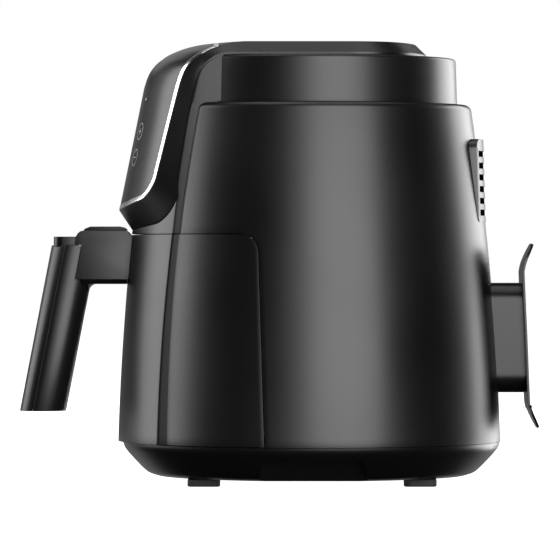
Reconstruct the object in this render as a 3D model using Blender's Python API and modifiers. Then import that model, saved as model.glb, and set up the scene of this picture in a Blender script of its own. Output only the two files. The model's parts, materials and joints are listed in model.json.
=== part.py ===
"""Drawer air fryer: a round tapered body with a touch panel, a drawer with a lift-out basket, a fan heater.

Metres, +Z up, origin under the middle of the whole object, on the surface it stands on.
The front (panel and handle) faces -Y and the vent and cord tidy face +Y.
Almost every outer surface is turned about one upright line, the body axis, so the
pieces are written about that axis and hang on an empty that stands on it.
"""

import bisect
import math

import bmesh
import bpy
from mathutils import Matrix

MM = 0.001
GAP = 0.3 * MM
WALL = 2.5 * MM
SHEET = 1.2 * MM
MERGE = 0.00001

# The body axis stands this far behind the middle of the whole length.
AXIS_Y = 23.2 * MM

# Round body: a gentle barrel taper above the base.
SEAM_Z = 30.0 * MM
SHOULDER_Z = 273.0 * MM
BODY_FOOT_RADIUS = 137.0 * MM
BODY_TAPER = 0.03097
BODY_BARREL = 0.2386
SHOULDER_ROUND = 5.0 * MM
TIER_RADIUS = 105.8 * MM
TIER_TOP_RADIUS = 104.7 * MM
TIER_TOP_Z = 306.3 * MM
TIER_HOLE = 72.0 * MM

# Nose: the flat-sided front that stands proud of the round body.
NOSE_PROUD = 3.2 * MM
NECK_HALF_WIDTH = 88.5 * MM
NECK_DRAFT = 0.0214

# Head: the turned face that carries the touch panel, and the flat tongue behind it.
# Its middle line as (distance ahead of the axis, z): flat top, brow, then the straight face to the tip.
HEAD_LINE = (
    (0.0, 316.5), (76.0, 316.5), (84.0, 315.7), (90.0, 314.4), (95.7, 312.6), (103.3, 309.4), (108.0, 306.3),
    (111.8, 303.4), (114.6, 300.4), (117.1, 296.9), (119.3, 292.2), (121.4, 285.6), (139.3, 197.4))
BROW_ARC = 121.4 * MM
PANEL_HALF_WIDTH = 77.0 * MM
PANEL_LOW_Z = 196.9 * MM
PANEL_LOW_ARC = 290.0 * MM
PANEL_CORNER = 13.5 * MM
PANEL_REAR_Y = -66.0 * MM
TRIM_WIDTH = 4.4 * MM
TRIM_SEAT = 1.2 * MM
TRIM_THICKNESS = 0.8 * MM
TONGUE_REAR_ARC = 117.4 * MM
TONGUE_REAR_CENTRE_Y = -41.6 * MM
TONGUE_CORNER = 40.0 * MM
TONGUE_EDGE_Z = 306.8 * MM
TONGUE_SIDE_BEVEL = 5.7 * MM
TONGUE_REAR_BEVEL = 7.9 * MM
CHIN_Z = 182.6 * MM
CHIN_ARC = 490.0 * MM
CHIN_CORNER = 20.0 * MM
CHIN_CORNER_START = 65.0 * MM
# Where the dark bevel around the head meets the flat side of the neck, as (y, z).
HEAD_SIDE_EDGE = (
    (-65.4, 305.4), (-74.4, 300.8), (-80.8, 293.8), (-88.5, 260.6), (-95.0, 222.0), (-95.4, 208.0))

# Drawer.
DRAWER_TOP_Z = 179.2 * MM
DRAWER_BOTTOM_Z = 30.3 * MM
DRAWER_SIDE_Y_LOW = -33.9 * MM
DRAWER_SIDE_LEAN = 0.0307
DRAWER_CORNER = 12.5 * MM
BACKPLATE_Y = -44.0 * MM
CHANNEL_HALF_WIDTH = 15.0 * MM
CHANNEL_FLOOR_Z = 172.3 * MM

# Chamber, pan and basket, nested rounded squares.
LINER_HALF = 103.0 * MM
LINER_CORNER = 60.0 * MM
LINER_FLOOR_Z = 34.0 * MM
LINER_TOP_Z = 180.5 * MM
LINER_FRONT_Y = -30.5 * MM
BULKHEAD_Y = -32.0 * MM
PAN_HALF = 98.0 * MM
PAN_CORNER = 55.0 * MM
PAN_FLOOR_Z = 40.0 * MM
PAN_RIM_Z = 170.7 * MM
BASKET_HALF = 93.0 * MM
BASKET_CORNER = 51.0 * MM
BASKET_FLOOR_Z = 47.0 * MM
BASKET_RIM_Z = 172.5 * MM
CEILING_Z = 181.0 * MM
CEILING_RADIUS = 111.5 * MM
CEILING_HOLE = 92.0 * MM

# Heater, fans and motor.
DOME_RADIUS = 88.0 * MM
DOME_TOP_Z = 232.0 * MM
COIL_Z = 193.0 * MM
COIL_INNER = 34.0 * MM
COIL_OUTER = 74.0 * MM
COIL_TURNS = 2.0
MOTOR_RADIUS = 32.0 * MM
SHAFT_RADIUS = 4.0 * MM

# Handle, seen from the side: it leans outwards towards the bottom.
HANDLE_HALF_WIDTH = 19.0 * MM
HANDLE_LEAN = 0.193
GRIP_TOP_Z = 171.7 * MM
GRIP_BOTTOM_Z = 51.8 * MM
GRIP_FRONT_Y = -188.3 * MM
GRIP_DEPTH = 33.3 * MM
GRIP_SEAM = 9.8 * MM
GRIP_CORNER = 14.0 * MM
BRACKET_OUTLINE = (
    (-132.5, 143.3), (-132.5, 180.9), (-134.5, 182.4), (-164.0, 182.4), (-168.2, 180.4),
    (-170.5, 177.4), (-170.7, 172.0), (-164.6, 172.0), (-169.7, 143.3),
)
POCKET_HALF_WIDTH = 9.5 * MM
BUTTON_Y = -153.0 * MM

# Rear fittings.
VENT_BOTTOM_Z = 188.5 * MM
VENT_TOP_Z = 248.1 * MM
VENT_HALF_WIDTH = 40.5 * MM
VENT_SLOT_HALF_WIDTH = 33.0 * MM
VENT_SLOT_HEIGHT = 4.4 * MM
VENT_SLOT_PITCH = 8.45 * MM
VENT_SLOT_COUNT = 6
VENT_FIRST_SLOT_Z = 195.2 * MM
WRAP_PLATE_LINE = (
    (160.8, 172.3), (155.7, 162.5), (153.7, 148.6), (155.5, 105.0),
    (157.3, 61.5), (159.6, 50.0), (165.0, 40.0))
WRAP_PLATE_THICKNESS = 2.2 * MM
WRAP_PLATE_HALF_WIDTH = 27.0 * MM
WRAP_POST_HALF_WIDTH = 19.5 * MM
WRAP_POST_Z = (65.1 * MM, 144.5 * MM)

FOOT_X = 65.0 * MM
FOOT_Y = 77.0 * MM
FOOT_TOP_Z = 5.2 * MM
BASE_FLOOR_Z = 5.5 * MM
RECESS_X = 109.3 * MM

TURN_STEPS = 48
FAR = 160.0 * MM


def clear_scene():
    for obj in list(bpy.data.objects):
        bpy.data.objects.remove(obj)


def new_collection(name):
    collection = bpy.data.collections.new(name)
    bpy.context.scene.collection.children.link(collection)
    return collection


def material(name, colour, roughness, metallic=0.0):
    made = bpy.data.materials.new(name)
    made.use_nodes = True
    shader = made.node_tree.nodes["Principled BSDF"]
    shader.inputs["Base Color"].default_value = (*colour, 1.0)
    shader.inputs["Roughness"].default_value = roughness
    shader.inputs["Metallic"].default_value = metallic
    return made


clear_scene()
PARTS = new_collection("air_fryer")
CUTTERS = new_collection("air_fryer_cutters")

SATIN_BLACK = material("satin_black_plastic", (0.030, 0.030, 0.033), 0.32)
BASE_BLACK = material("base_black_plastic", (0.008, 0.008, 0.009), 0.30)
GLOSS_BLACK = material("gloss_black_panel", (0.005, 0.005, 0.006), 0.05)
CHROME = material("chrome_trim", (0.90, 0.90, 0.91), 0.08, 1.0)
HANDLE_GREY = material("handle_dark_grey", (0.060, 0.060, 0.064), 0.35)
COATED = material("nonstick_coating", (0.020, 0.020, 0.022), 0.45)
STEEL = material("steel_sheet", (0.55, 0.55, 0.56), 0.30, 1.0)
RUBBER = material("rubber", (0.015, 0.015, 0.015), 0.85)
BOARD = material("board_green", (0.03, 0.16, 0.07), 0.50)
COMPONENT = material("component_grey", (0.20, 0.20, 0.22), 0.45)
ELEMENT = material("heater_sheath", (0.18, 0.16, 0.15), 0.40, 1.0)


def empty(name, location, parent=None):
    made = bpy.data.objects.new(name, None)
    made.location = location
    made.parent = parent
    PARTS.objects.link(made)
    return made


AXIS = empty("body_axis", (0.0, AXIS_Y, 0.0))
PAN = empty("pan_motion", (0.0, 0.0, 0.0), AXIS)
BASKET = empty("basket_motion", (0.0, 0.0, 0.0), PAN)
RELEASE = empty("release_motion", (0.0, 0.0, 0.0), BASKET)
GUARD = empty("guard_motion", (0.0, 0.0, 0.0), BASKET)
ROTOR = empty("rotor_motion", (0.0, 0.0, 0.0), AXIS)
PLUNGER = empty("plunger_motion", (0.0, 0.0, 0.0), AXIS)


# ---------------------------------------------------------------- shape tools


def add_object(name, mesh, look, parent=AXIS, location=(0.0, 0.0, 0.0)):
    """A part when it has a look, a cutter when it has none."""
    obj = bpy.data.objects.new(name, mesh)
    obj.parent = parent
    obj.location = location
    if look is None:
        CUTTERS.objects.link(obj)
        obj.hide_render = True
        obj.display_type = "WIRE"
    else:
        PARTS.objects.link(obj)
        obj.data.materials.append(look)
    return obj


def mesh_from(bm, name):
    bmesh.ops.recalc_face_normals(bm, faces=bm.faces)
    mesh = bpy.data.meshes.new(name)
    bm.to_mesh(mesh)
    bm.free()
    return mesh


def bevel(obj, width, segments=1, angle=math.radians(40)):
    modifier = obj.modifiers.new("rounded_edges", "BEVEL")
    modifier.width = width
    modifier.segments = segments
    modifier.limit_method = "ANGLE"
    modifier.angle_limit = angle
    return obj


def boolean(obj, tools, operation):
    for tool in tools:
        modifier = obj.modifiers.new(operation.lower(), "BOOLEAN")
        modifier.operation = operation
        modifier.object = tool
        modifier.solver = "EXACT"
    return obj


def cut(obj, *tools):
    return boolean(obj, tools, "DIFFERENCE")


def join(obj, *tools):
    return boolean(obj, tools, "UNION")


def keep(obj, *tools):
    return boolean(obj, tools, "INTERSECT")


def box(name, low, high, look=None, parent=AXIS):
    """A box between two corners, with its origin in its middle."""
    size = [b - a for a, b in zip(low, high)]
    middle = [(a + b) / 2 for a, b in zip(low, high)]
    bm = bmesh.new()
    bmesh.ops.create_cube(bm, size=1.0, matrix=Matrix.Diagonal((*size, 1.0)))
    return add_object(name, mesh_from(bm, name), look, parent, middle)


def cylinder(name, radius, low, high, look=None, parent=AXIS, sides=24, along="Z"):
    """A cylinder from the middle of one end, low, to the middle of the other, high."""
    axis = "XYZ".index(along)
    depth = high[axis] - low[axis]
    middle = [(a + b) / 2 for a, b in zip(low, high)]
    quarter = math.pi / 2
    turns = {"X": Matrix.Rotation(quarter, 4, "Y"), "Y": Matrix.Rotation(quarter, 4, "X"), "Z": Matrix()}
    turn = turns[along]
    bm = bmesh.new()
    bmesh.ops.create_cone(
        bm, cap_ends=True, segments=sides, radius1=radius, radius2=radius, depth=depth, matrix=turn)
    return add_object(name, mesh_from(bm, name), look, parent, middle)


def turned(name, profile, look=None, parent=AXIS, steps=TURN_STEPS):
    """A closed profile of (radius, z), down its outer side and up its inner side, turned about the axis."""
    mesh = bpy.data.meshes.new(name)
    points = [(r, 0.0, z) for r, z in profile]
    on_axis = profile[0][0] == 0.0 and profile[-1][0] == 0.0
    edges = [(i, i + 1) for i in range(len(points) - 1)]
    if not on_axis:
        edges.append((len(points) - 1, 0))
    mesh.from_pydata(points, edges, [])
    obj = add_object(name, mesh, look, parent)
    screw = obj.modifiers.new("turn", "SCREW")
    screw.steps = steps
    screw.render_steps = steps
    screw.use_merge_vertices = True
    screw.merge_threshold = MERGE
    return obj


def curve_mesh(curve, name):
    """The mesh of a curve, with its caps welded on."""
    holder = bpy.data.objects.new(name + "_curve", curve)
    CUTTERS.objects.link(holder)
    depsgraph = bpy.context.evaluated_depsgraph_get()
    mesh = bpy.data.meshes.new_from_object(holder.evaluated_get(depsgraph))
    bm = bmesh.new()
    bm.from_mesh(mesh)
    bmesh.ops.remove_doubles(bm, verts=bm.verts, dist=MERGE)
    bmesh.ops.recalc_face_normals(bm, faces=bm.faces)
    bm.to_mesh(mesh)
    bm.free()
    bpy.data.objects.remove(holder)
    return mesh


def flat_mesh(name, outline, thickness):
    """A flat outline in its own X and Y, thickened equally to both sides."""
    curve = bpy.data.curves.new(name, "CURVE")
    curve.dimensions = "2D"
    curve.fill_mode = "BOTH"
    curve.extrude = thickness / 2
    spline = curve.splines.new("POLY")
    spline.points.add(len(outline) - 1)
    for point, (x, y) in zip(spline.points, outline):
        point.co = (x, y, 0.0, 1.0)
    spline.use_cyclic_u = True
    return curve_mesh(curve, name)


def plan_prism(name, outline, bottom, top, look=None, parent=AXIS):
    """An outline of (x, y) raised from bottom to top."""
    mesh = flat_mesh(name, outline, top - bottom)
    return add_object(name, mesh, look, parent, (0.0, 0.0, (bottom + top) / 2))


def side_prism(name, outline, left, right, look=None, parent=AXIS):
    """An outline of (y, z) carried across from x = left to x = right."""
    mesh = flat_mesh(name, outline, right - left)
    mesh.transform(Matrix.Rotation(math.pi / 2, 4, "Z") @ Matrix.Rotation(math.pi / 2, 4, "X"))
    return add_object(name, mesh, look, parent, ((left + right) / 2, 0.0, 0.0))


def front_prism(name, outline, front, back, look=None, parent=AXIS):
    """An outline of (x, z) carried from y = front to y = back."""
    mesh = flat_mesh(name, outline, back - front)
    mesh.transform(Matrix.Rotation(math.pi / 2, 4, "X"))
    return add_object(name, mesh, look, parent, (0.0, (front + back) / 2, 0.0))


def rounded_box_outline(x0, x1, y0, y1, radii, steps=5):
    """A rectangle with its corners rounded; radii run from (x1, y1) anticlockwise."""
    corners = ((x1, y1, -1, -1, 0), (x0, y1, 1, -1, 90), (x0, y0, 1, 1, 180), (x1, y0, -1, 1, 270))
    points = []
    for (x, y, inward_x, inward_y, start), radius in zip(corners, radii):
        if radius == 0:
            points.append((x, y))
            continue
        for step in range(steps + 1):
            angle = math.radians(start + 90 * step / steps)
            points.append((
                x + inward_x * radius + radius * math.cos(angle),
                y + inward_y * radius + radius * math.sin(angle),
            ))
    return points


def swing_about_axis(obj, angle):
    """Turns a piece that was made on +X about the body axis."""
    reach = obj.location.x
    obj.rotation_euler.z = angle
    obj.location.x = reach * math.cos(angle)
    obj.location.y = reach * math.sin(angle)


def millimetres(points):
    return [(a * MM, b * MM) for a, b in points]


def at(x, y, z):
    """A point given in millimetres."""
    return x * MM, y * MM, z * MM


def along(line, share):
    """The point at a share of the length of a line of points."""
    lengths = [math.dist(a, b) for a, b in zip(line, line[1:])]
    left = share * sum(lengths)
    for (a, b), length in zip(zip(line, line[1:]), lengths):
        if left <= length:
            part = left / length
            return tuple(p + (q - p) * part for p, q in zip(a, b))
        left -= length
    return line[-1]


# ---------------------------------------------------------------- outer form


def body_radius(z):
    height = z - SEAM_Z
    return BODY_FOOT_RADIUS - BODY_TAPER * height - BODY_BARREL * height * height


def nose_radius(z):
    return body_radius(z) + NOSE_PROUD


def neck_half_width(z):
    return NECK_HALF_WIDTH - NECK_DRAFT * (z - SEAM_Z)


def levels(top, bottom, count):
    return [top + (bottom - top) * i / (count - 1) for i in range(count)]


def turned_solid(name, radius_at, bottom, top, shrink=0.0, count=6, look=None, parent=AXIS):
    """A solid turned form between two heights, a cutter unless it has a look."""
    side = [(radius_at(z) - shrink, z) for z in levels(top, bottom, count)]
    return turned(name, [(0.0, top), *side, (0.0, bottom)], look, parent)


def neck_wedge(name, bottom, top, shrink, front, back):
    """The drafted block between the two flat sides of the neck, as a cutter."""
    low = neck_half_width(bottom) - shrink
    high = neck_half_width(top) - shrink
    return front_prism(name, [(-low, bottom), (low, bottom), (high, top), (-high, top)], front, back)


def drawer_side_y(z):
    return DRAWER_SIDE_Y_LOW - DRAWER_SIDE_LEAN * (z - 28.0 * MM)


def drawer_block(name, grow):
    """Everything ahead of the drawer's side seams and below its top seam, as a cutter."""
    top = DRAWER_TOP_Z + grow
    bottom = SEAM_Z - 5 * MM if grow else DRAWER_BOTTOM_Z
    radius = DRAWER_CORNER + grow
    corner_y = drawer_side_y(top) + grow
    outline = [(-FAR * 1.5, bottom), (drawer_side_y(bottom) + grow, bottom)]
    for step in range(7):
        angle = math.radians(90 * step / 6)
        outline.append((
            corner_y - radius + radius * math.cos(angle),
            top - radius + radius * math.sin(angle),
        ))
    outline.append((-FAR * 1.5, top))
    return side_prism(name, outline, -FAR, FAR)


def make_base():
    outer = millimetres([
        (136.7, 29.7), (134.9, 24.6), (131.2, 20.2), (127.2, 15.9),
        (122.9, 11.5), (117.8, 7.2), (112.0, 5.5)])
    base = turned("base_tub", [(0.0, outer[0][1]), *outer, (0.0, BASE_FLOOR_Z)], BASE_BLACK)
    floor = BASE_FLOOR_Z + WALL
    inner = [(r - WALL, z) for r, z in outer if z > floor]
    hollow = turned(
        "base_hollow",
        [(0.0, 40 * MM), (inner[0][0], 40 * MM), *inner, (inner[-1][0] - WALL, floor), (0.0, floor)])
    recess = (RECESS_X, FAR)
    for side in (-1, 1):
        wall_edges = sorted((side * (recess[0] - WALL), side * recess[1]))
        wall_outline = millimetres([(-41.3, 3.0), (42.6, 3.0), (38.1, 22.7), (-37.8, 22.7)])
        cut(hollow, side_prism("recess_wall", wall_outline, *wall_edges))
    cut(base, hollow)
    for side in (-1, 1):
        edges = sorted((side * recess[0], side * recess[1]))
        recess_outline = millimetres([(-38.3, 3.0), (39.6, 3.0), (35.1, 20.2), (-34.8, 20.2)])
        cut(base, side_prism("hand_recess", recess_outline, *edges))


def make_feet():
    for side, x in (("left", -FOOT_X), ("right", FOOT_X)):
        for end, y in (("front", -FOOT_Y), ("rear", FOOT_Y)):
            outline = rounded_box_outline(-11.5 * MM, 11.5 * MM, -11.6 * MM, 11.6 * MM, [5 * MM] * 4, 3)
            foot = plan_prism(f"foot_{end}_{side}", outline, 0.0, FOOT_TOP_Z, RUBBER)
            foot.location.x = x
            foot.location.y = y


def make_outer_shell():
    shoulder = [(TIER_RADIUS + GAP, SHOULDER_Z)]
    edge = body_radius(SHOULDER_Z - SHOULDER_ROUND)
    for step in range(4):
        angle = math.radians(90 * step / 3)
        shoulder.append((
            edge - SHOULDER_ROUND + SHOULDER_ROUND * math.sin(angle),
            SHOULDER_Z - SHOULDER_ROUND + SHOULDER_ROUND * math.cos(angle),
        ))
    side = [(body_radius(z), z) for z in levels(SHOULDER_Z - SHOULDER_ROUND, SEAM_Z, 7)[1:]]
    inside = [(body_radius(z) - WALL, z) for z in levels(SEAM_Z, SHOULDER_Z - SHOULDER_ROUND - WALL, 6)]
    under = [(edge - SHOULDER_ROUND, SHOULDER_Z - WALL), (TIER_RADIUS + GAP, SHOULDER_Z - WALL)]
    shell = turned("outer_shell", [*shoulder, *side, *inside, *under], SATIN_BLACK)
    window = box(
        "vent_window",
        (-VENT_HALF_WIDTH - GAP, 100 * MM, VENT_BOTTOM_Z - GAP),
        (VENT_HALF_WIDTH + GAP, FAR, VENT_TOP_Z + GAP))
    cut(
        shell,
        drawer_block("drawer_opening", GAP),
        neck_wedge("neck_opening", DRAWER_TOP_Z - 1 * MM, SHOULDER_Z + 5 * MM, -GAP, -FAR, 0.0),
        window)
    return shell


def make_top_tier():
    round_edge = 2.5 * MM
    profile = [
        (TIER_HOLE, TIER_TOP_Z),
        (TIER_TOP_RADIUS - round_edge, TIER_TOP_Z),
        (TIER_TOP_RADIUS - 0.7 * MM, TIER_TOP_Z - 0.8 * MM),
        (TIER_TOP_RADIUS, TIER_TOP_Z - round_edge),
        (TIER_RADIUS, SHOULDER_Z - WALL),
        (TIER_RADIUS - WALL, SHOULDER_Z - WALL),
        (TIER_TOP_RADIUS - WALL, TIER_TOP_Z - WALL),
        (TIER_HOLE, TIER_TOP_Z - WALL),
    ]
    tier = turned("top_tier", profile, SATIN_BLACK)
    cut(tier, neck_wedge("tier_opening", SHOULDER_Z - 5 * MM, TIER_TOP_Z + 2 * MM, -GAP, -FAR, 0.0))
    return tier


def make_neck():
    bottom = DRAWER_TOP_Z + GAP
    top = TIER_TOP_Z
    neck = turned_solid("neck_cover", nose_radius, bottom, top, 0.0, 5, SATIN_BLACK)
    hollow = neck_wedge("neck_hollow", bottom - 2 * MM, top + 2 * MM, WALL, -FAR, FAR)
    keep(hollow, turned_solid("neck_hollow_front", nose_radius, bottom - 3 * MM, top + 3 * MM, WALL, 5))
    head_line = [(y + GAP, z) for y, z in millimetres(HEAD_SIDE_EDGE)]
    head_outline = [*head_line, (-FAR, head_line[-1][1]), (-FAR, 330 * MM), (-65.0 * MM, 330 * MM)]
    rear_outline = millimetres([(-76, 170), (160, 170), (160, 330), (-62, 330), (-62, 272.0), (-76, 271.8)])
    reach = neck_half_width(CHIN_Z) + 2 * MM
    chin_line = [(x, chin_z(x) - GAP) for x in levels(-reach, reach, 31)]
    chin_outline = [*chin_line, (reach, 330 * MM), (-reach, 330 * MM)]
    keep(neck, neck_wedge("neck_sides", bottom - 1 * MM, top + 1 * MM, 0.0, -FAR, FAR))
    cut(
        neck,
        hollow,
        side_prism("head_region", head_outline, -FAR, FAR),
        front_prism("chin_region", chin_outline, -FAR, -93.4 * MM),
        side_prism("behind_neck", rear_outline, -FAR, FAR))
    return neck


# ---------------------------------------------------------------- head and panel


PROFILE = [(r * MM, z * MM) for r, z in HEAD_LINE]
LENGTHS = [0.0]
for start, end in zip(PROFILE, PROFILE[1:]):
    LENGTHS.append(LENGTHS[-1] + math.dist(start, end))


def profile_at(length, depth=0.0):
    """The middle line's (distance ahead, z) at a length along it, moved inwards by depth."""
    index = min(max(bisect.bisect_right(LENGTHS, length) - 1, 0), len(PROFILE) - 2)
    (r0, z0), (r1, z1) = PROFILE[index], PROFILE[index + 1]
    span = LENGTHS[index + 1] - LENGTHS[index]
    part = (length - LENGTHS[index]) / span
    normal_r = (z0 - z1) / span
    normal_z = (r1 - r0) / span
    return r0 + (r1 - r0) * part - depth * normal_r, z0 + (z1 - z0) * part - depth * normal_z


def length_at(ahead):
    for index in range(len(PROFILE) - 1):
        r0, r1 = PROFILE[index][0], PROFILE[index + 1][0]
        if r0 <= ahead <= r1:
            return LENGTHS[index] + (LENGTHS[index + 1] - LENGTHS[index]) * (ahead - r0) / (r1 - r0)
    return LENGTHS[-1]


def length_at_height(z):
    face_top, face_tip = PROFILE[-2][1], PROFILE[-1][1]
    drop = (face_top - z) / (face_top - face_tip)
    face_start = LENGTHS[-2]
    return face_start + (LENGTHS[-1] - face_start) * max(drop, 0.0)


def panel_low_z(x, inset):
    """The lower outline of the panel: a wide arc with rounded corners."""
    width = PANEL_HALF_WIDTH - inset
    corner = PANEL_CORNER - inset / 2
    beyond = max(abs(x) - (width - corner), 0.0)
    drop = corner - math.sqrt(max(corner * corner - beyond * beyond, 0.0))
    return PANEL_LOW_Z + inset + x * x / (2 * PANEL_LOW_ARC) + drop


def panel_columns(inset, count):
    width = PANEL_HALF_WIDTH - inset
    return [width * math.sin(math.radians(-90 + 180 * i / (count - 1))) for i in range(count)]


def contour_y(x, ahead):
    """Level lines are circles about the axis on the face; above it the last of them slides straight back."""
    arc = max(ahead, BROW_ARC)
    return arc - ahead - math.sqrt(arc * arc - x * x)


def distance_ahead(x, y):
    """Where the level line through a point of the brow or the top meets the middle line."""
    return max(BROW_ARC - y - math.sqrt(BROW_ARC ** 2 - x * x), 0.0)


def tongue_rear(x):
    """The round rear outline of the tongue's top: its y and its outward direction at x."""
    corner_x = PANEL_HALF_WIDTH - TONGUE_CORNER
    reach = TONGUE_REAR_ARC - TONGUE_CORNER
    if abs(x) < TONGUE_REAR_ARC * corner_x / reach:
        centre, radius = (0.0, TONGUE_REAR_CENTRE_Y), TONGUE_REAR_ARC
    else:
        corner_y = TONGUE_REAR_CENTRE_Y + math.sqrt(reach ** 2 - corner_x ** 2)
        centre, radius = (math.copysign(corner_x, x), corner_y), TONGUE_CORNER
    aside = x - centre[0]
    behind = math.sqrt(max(radius ** 2 - aside ** 2, 0.0))
    return centre[1] + behind, (aside / radius, behind / radius)


def panel_point(x, length, depth):
    ahead, z = profile_at(length, depth)
    return x, contour_y(x, ahead), z


def face_column(x, inset, depth, rows):
    """Points down one upright slice of the panel, from its rear edge to its lower edge."""
    start = length_at(distance_ahead(x, PANEL_REAR_Y - inset))
    end = length_at_height(panel_low_z(x, inset))
    return [panel_point(x, start + (end - start) * i / (rows - 1), depth) for i in range(rows)]


def crown_column(x, rows):
    """Points along one slice of the tongue, from its round rear edge to the panel's rear edge."""
    rear = tongue_rear(x)[0]
    points = []
    for i in range(rows):
        y = rear + (PANEL_REAR_Y - rear) * i / (rows - 1)
        points.append((x, y, profile_at(length_at(distance_ahead(x, y)))[1]))
    return points


def grid_object(name, columns, look, thickness):
    """An open sheet through columns of points, thickened inwards."""
    bm = bmesh.new()
    rows = [[bm.verts.new(point) for point in column] for column in columns]
    for left, right in zip(rows, rows[1:]):
        for i in range(len(left) - 1):
            bm.faces.new((left[i], left[i + 1], right[i + 1], right[i]))
    mesh = bpy.data.meshes.new(name)
    bm.to_mesh(mesh)
    bm.free()
    return solidify(add_object(name, mesh, look), thickness)


def solidify(obj, thickness):
    """Thickness is added on the inner side of outward-facing faces."""
    modifier = obj.modifiers.new("wall", "SOLIDIFY")
    modifier.thickness = thickness
    modifier.offset = -1.0
    modifier.use_even_offset = False
    return obj


def panel_loop(inset, columns, rows):
    """The closed outline of the panel at an inset, in order."""
    sheet = [face_column(x, inset, 0.0, rows) for x in panel_columns(inset, columns)]
    rear = [column[0] for column in sheet]
    right = sheet[-1][1:-1]
    low = [column[-1] for column in reversed(sheet)]
    left = list(reversed(sheet[0][1:-1]))
    return rear + right + low + left


def make_trim():
    outer = panel_loop(TRIM_SEAT, 13, 12)
    inner = panel_loop(TRIM_WIDTH, 13, 12)
    bm = bmesh.new()
    outer_verts = [bm.verts.new(point) for point in outer]
    inner_verts = [bm.verts.new(point) for point in inner]
    count = len(outer_verts)
    for i in range(count):
        j = (i + 1) % count
        bm.faces.new((outer_verts[i], inner_verts[i], inner_verts[j], outer_verts[j]))
    mesh = bpy.data.meshes.new("chrome_trim")
    bm.to_mesh(mesh)
    bm.free()
    return solidify(add_object("chrome_trim", mesh, CHROME), TRIM_THICKNESS)


def make_panel():
    inset = TRIM_WIDTH + 3 * GAP
    lens = [face_column(x, inset, 0.0, 14) for x in panel_columns(inset, 11)]
    grid_object("panel_lens", lens, GLOSS_BLACK, 1.8 * MM)
    carrier = [face_column(x, inset, 3.0 * MM, 14) for x in panel_columns(inset, 11)]
    grid_object("panel_carrier", carrier, BASE_BLACK, 2.0 * MM)


def chin_z(x):
    """The lower outline of the head's bevel, on the front of the nose."""
    beyond = max(abs(x) - CHIN_CORNER_START, 0.0)
    drop = CHIN_CORNER - math.sqrt(max(CHIN_CORNER ** 2 - beyond ** 2, 0.0))
    return CHIN_Z + x * x / (2 * CHIN_ARC) + drop


def head_edge_point(point, column, share):
    """Where the dark bevel ends, outside one point of the panel's outline."""
    x, y, z = point
    if column == "rear":
        out_x, out_y = tongue_rear(x)[1]
        reach = TONGUE_SIDE_BEVEL + (TONGUE_REAR_BEVEL - TONGUE_SIDE_BEVEL) * out_y
        return x + out_x * reach, y + out_y * reach, TONGUE_EDGE_Z
    if column == "low":
        wide = x * neck_half_width(CHIN_Z) / PANEL_HALF_WIDTH
        low = chin_z(wide)
        return wide, -math.sqrt(nose_radius(low) ** 2 - wide * wide), low
    side = math.copysign(1.0, x)
    if share is None:
        return side * (PANEL_HALF_WIDTH + TONGUE_SIDE_BEVEL), y, TONGUE_EDGE_Z
    edge_y, edge_z = along(millimetres(HEAD_SIDE_EDGE), share)
    return side * neck_half_width(edge_z), edge_y, edge_z


def make_top_cover():
    columns = panel_columns(0.0, 13)
    crown_rows, face_rows = 6, 12
    crown = [crown_column(x, crown_rows) for x in columns]
    face = [face_column(x, 0.0, 0.0, face_rows) for x in columns]
    bm = bmesh.new()
    crown_verts = [[bm.verts.new(point) for point in column] for column in crown]
    for left, right in zip(crown_verts, crown_verts[1:]):
        for i in range(crown_rows - 1):
            bm.faces.new((left[i], left[i + 1], right[i + 1], right[i]))
    # The panel's outline: round the tongue, down the right side, along the chin and up the left side.
    loop = []
    for column in crown_verts:
        loop.append((column[0], head_edge_point(column[0].co, "rear", None)))
    for vert in crown_verts[-1][1:-1]:
        loop.append((vert, head_edge_point(vert.co, "side", None)))
    side_shares = [i / (face_rows - 1) for i in range(face_rows)]

    def side_entry(column_verts, points, index):
        vert = column_verts[-1] if index == 0 else bm.verts.new(points[index])
        return vert, head_edge_point(vert.co, "side", side_shares[index])

    for index in range(face_rows - 1):
        loop.append(side_entry(crown_verts[-1], face[-1], index))
    for column in reversed(face):
        vert = bm.verts.new(column[-1])
        loop.append((vert, head_edge_point(vert.co, "low", None)))
    for index in range(face_rows - 2, -1, -1):
        loop.append(side_entry(crown_verts[0], face[0], index))
    for vert in reversed(crown_verts[0][1:-1]):
        loop.append((vert, head_edge_point(vert.co, "side", None)))
    edge_verts = [bm.verts.new(edge) for _, edge in loop]
    count = len(loop)
    for i in range(count):
        j = (i + 1) % count
        bm.faces.new((loop[i][0], loop[j][0], edge_verts[j], edge_verts[i]))
    bmesh.ops.recalc_face_normals(bm, faces=bm.faces)
    mesh = bpy.data.meshes.new("top_cover")
    bm.to_mesh(mesh)
    bm.free()
    cover = solidify(add_object("top_cover", mesh, SATIN_BLACK), 2.0 * MM)
    cut(cover, box("tier_room", (-FAR, -66 * MM, 250 * MM), (FAR, FAR, TIER_TOP_Z + GAP)))
    edge = millimetres(HEAD_SIDE_EDGE)
    behind = [*edge, (0.0, edge[-1][1]), (0.0, edge[0][1])]
    for side in (-1, 1):
        edges = sorted((side * 79 * MM, side * FAR))
        cut(cover, side_prism("neck_wall_room", behind, *edges))
    return cover


# ---------------------------------------------------------------- drawer and basket


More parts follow.
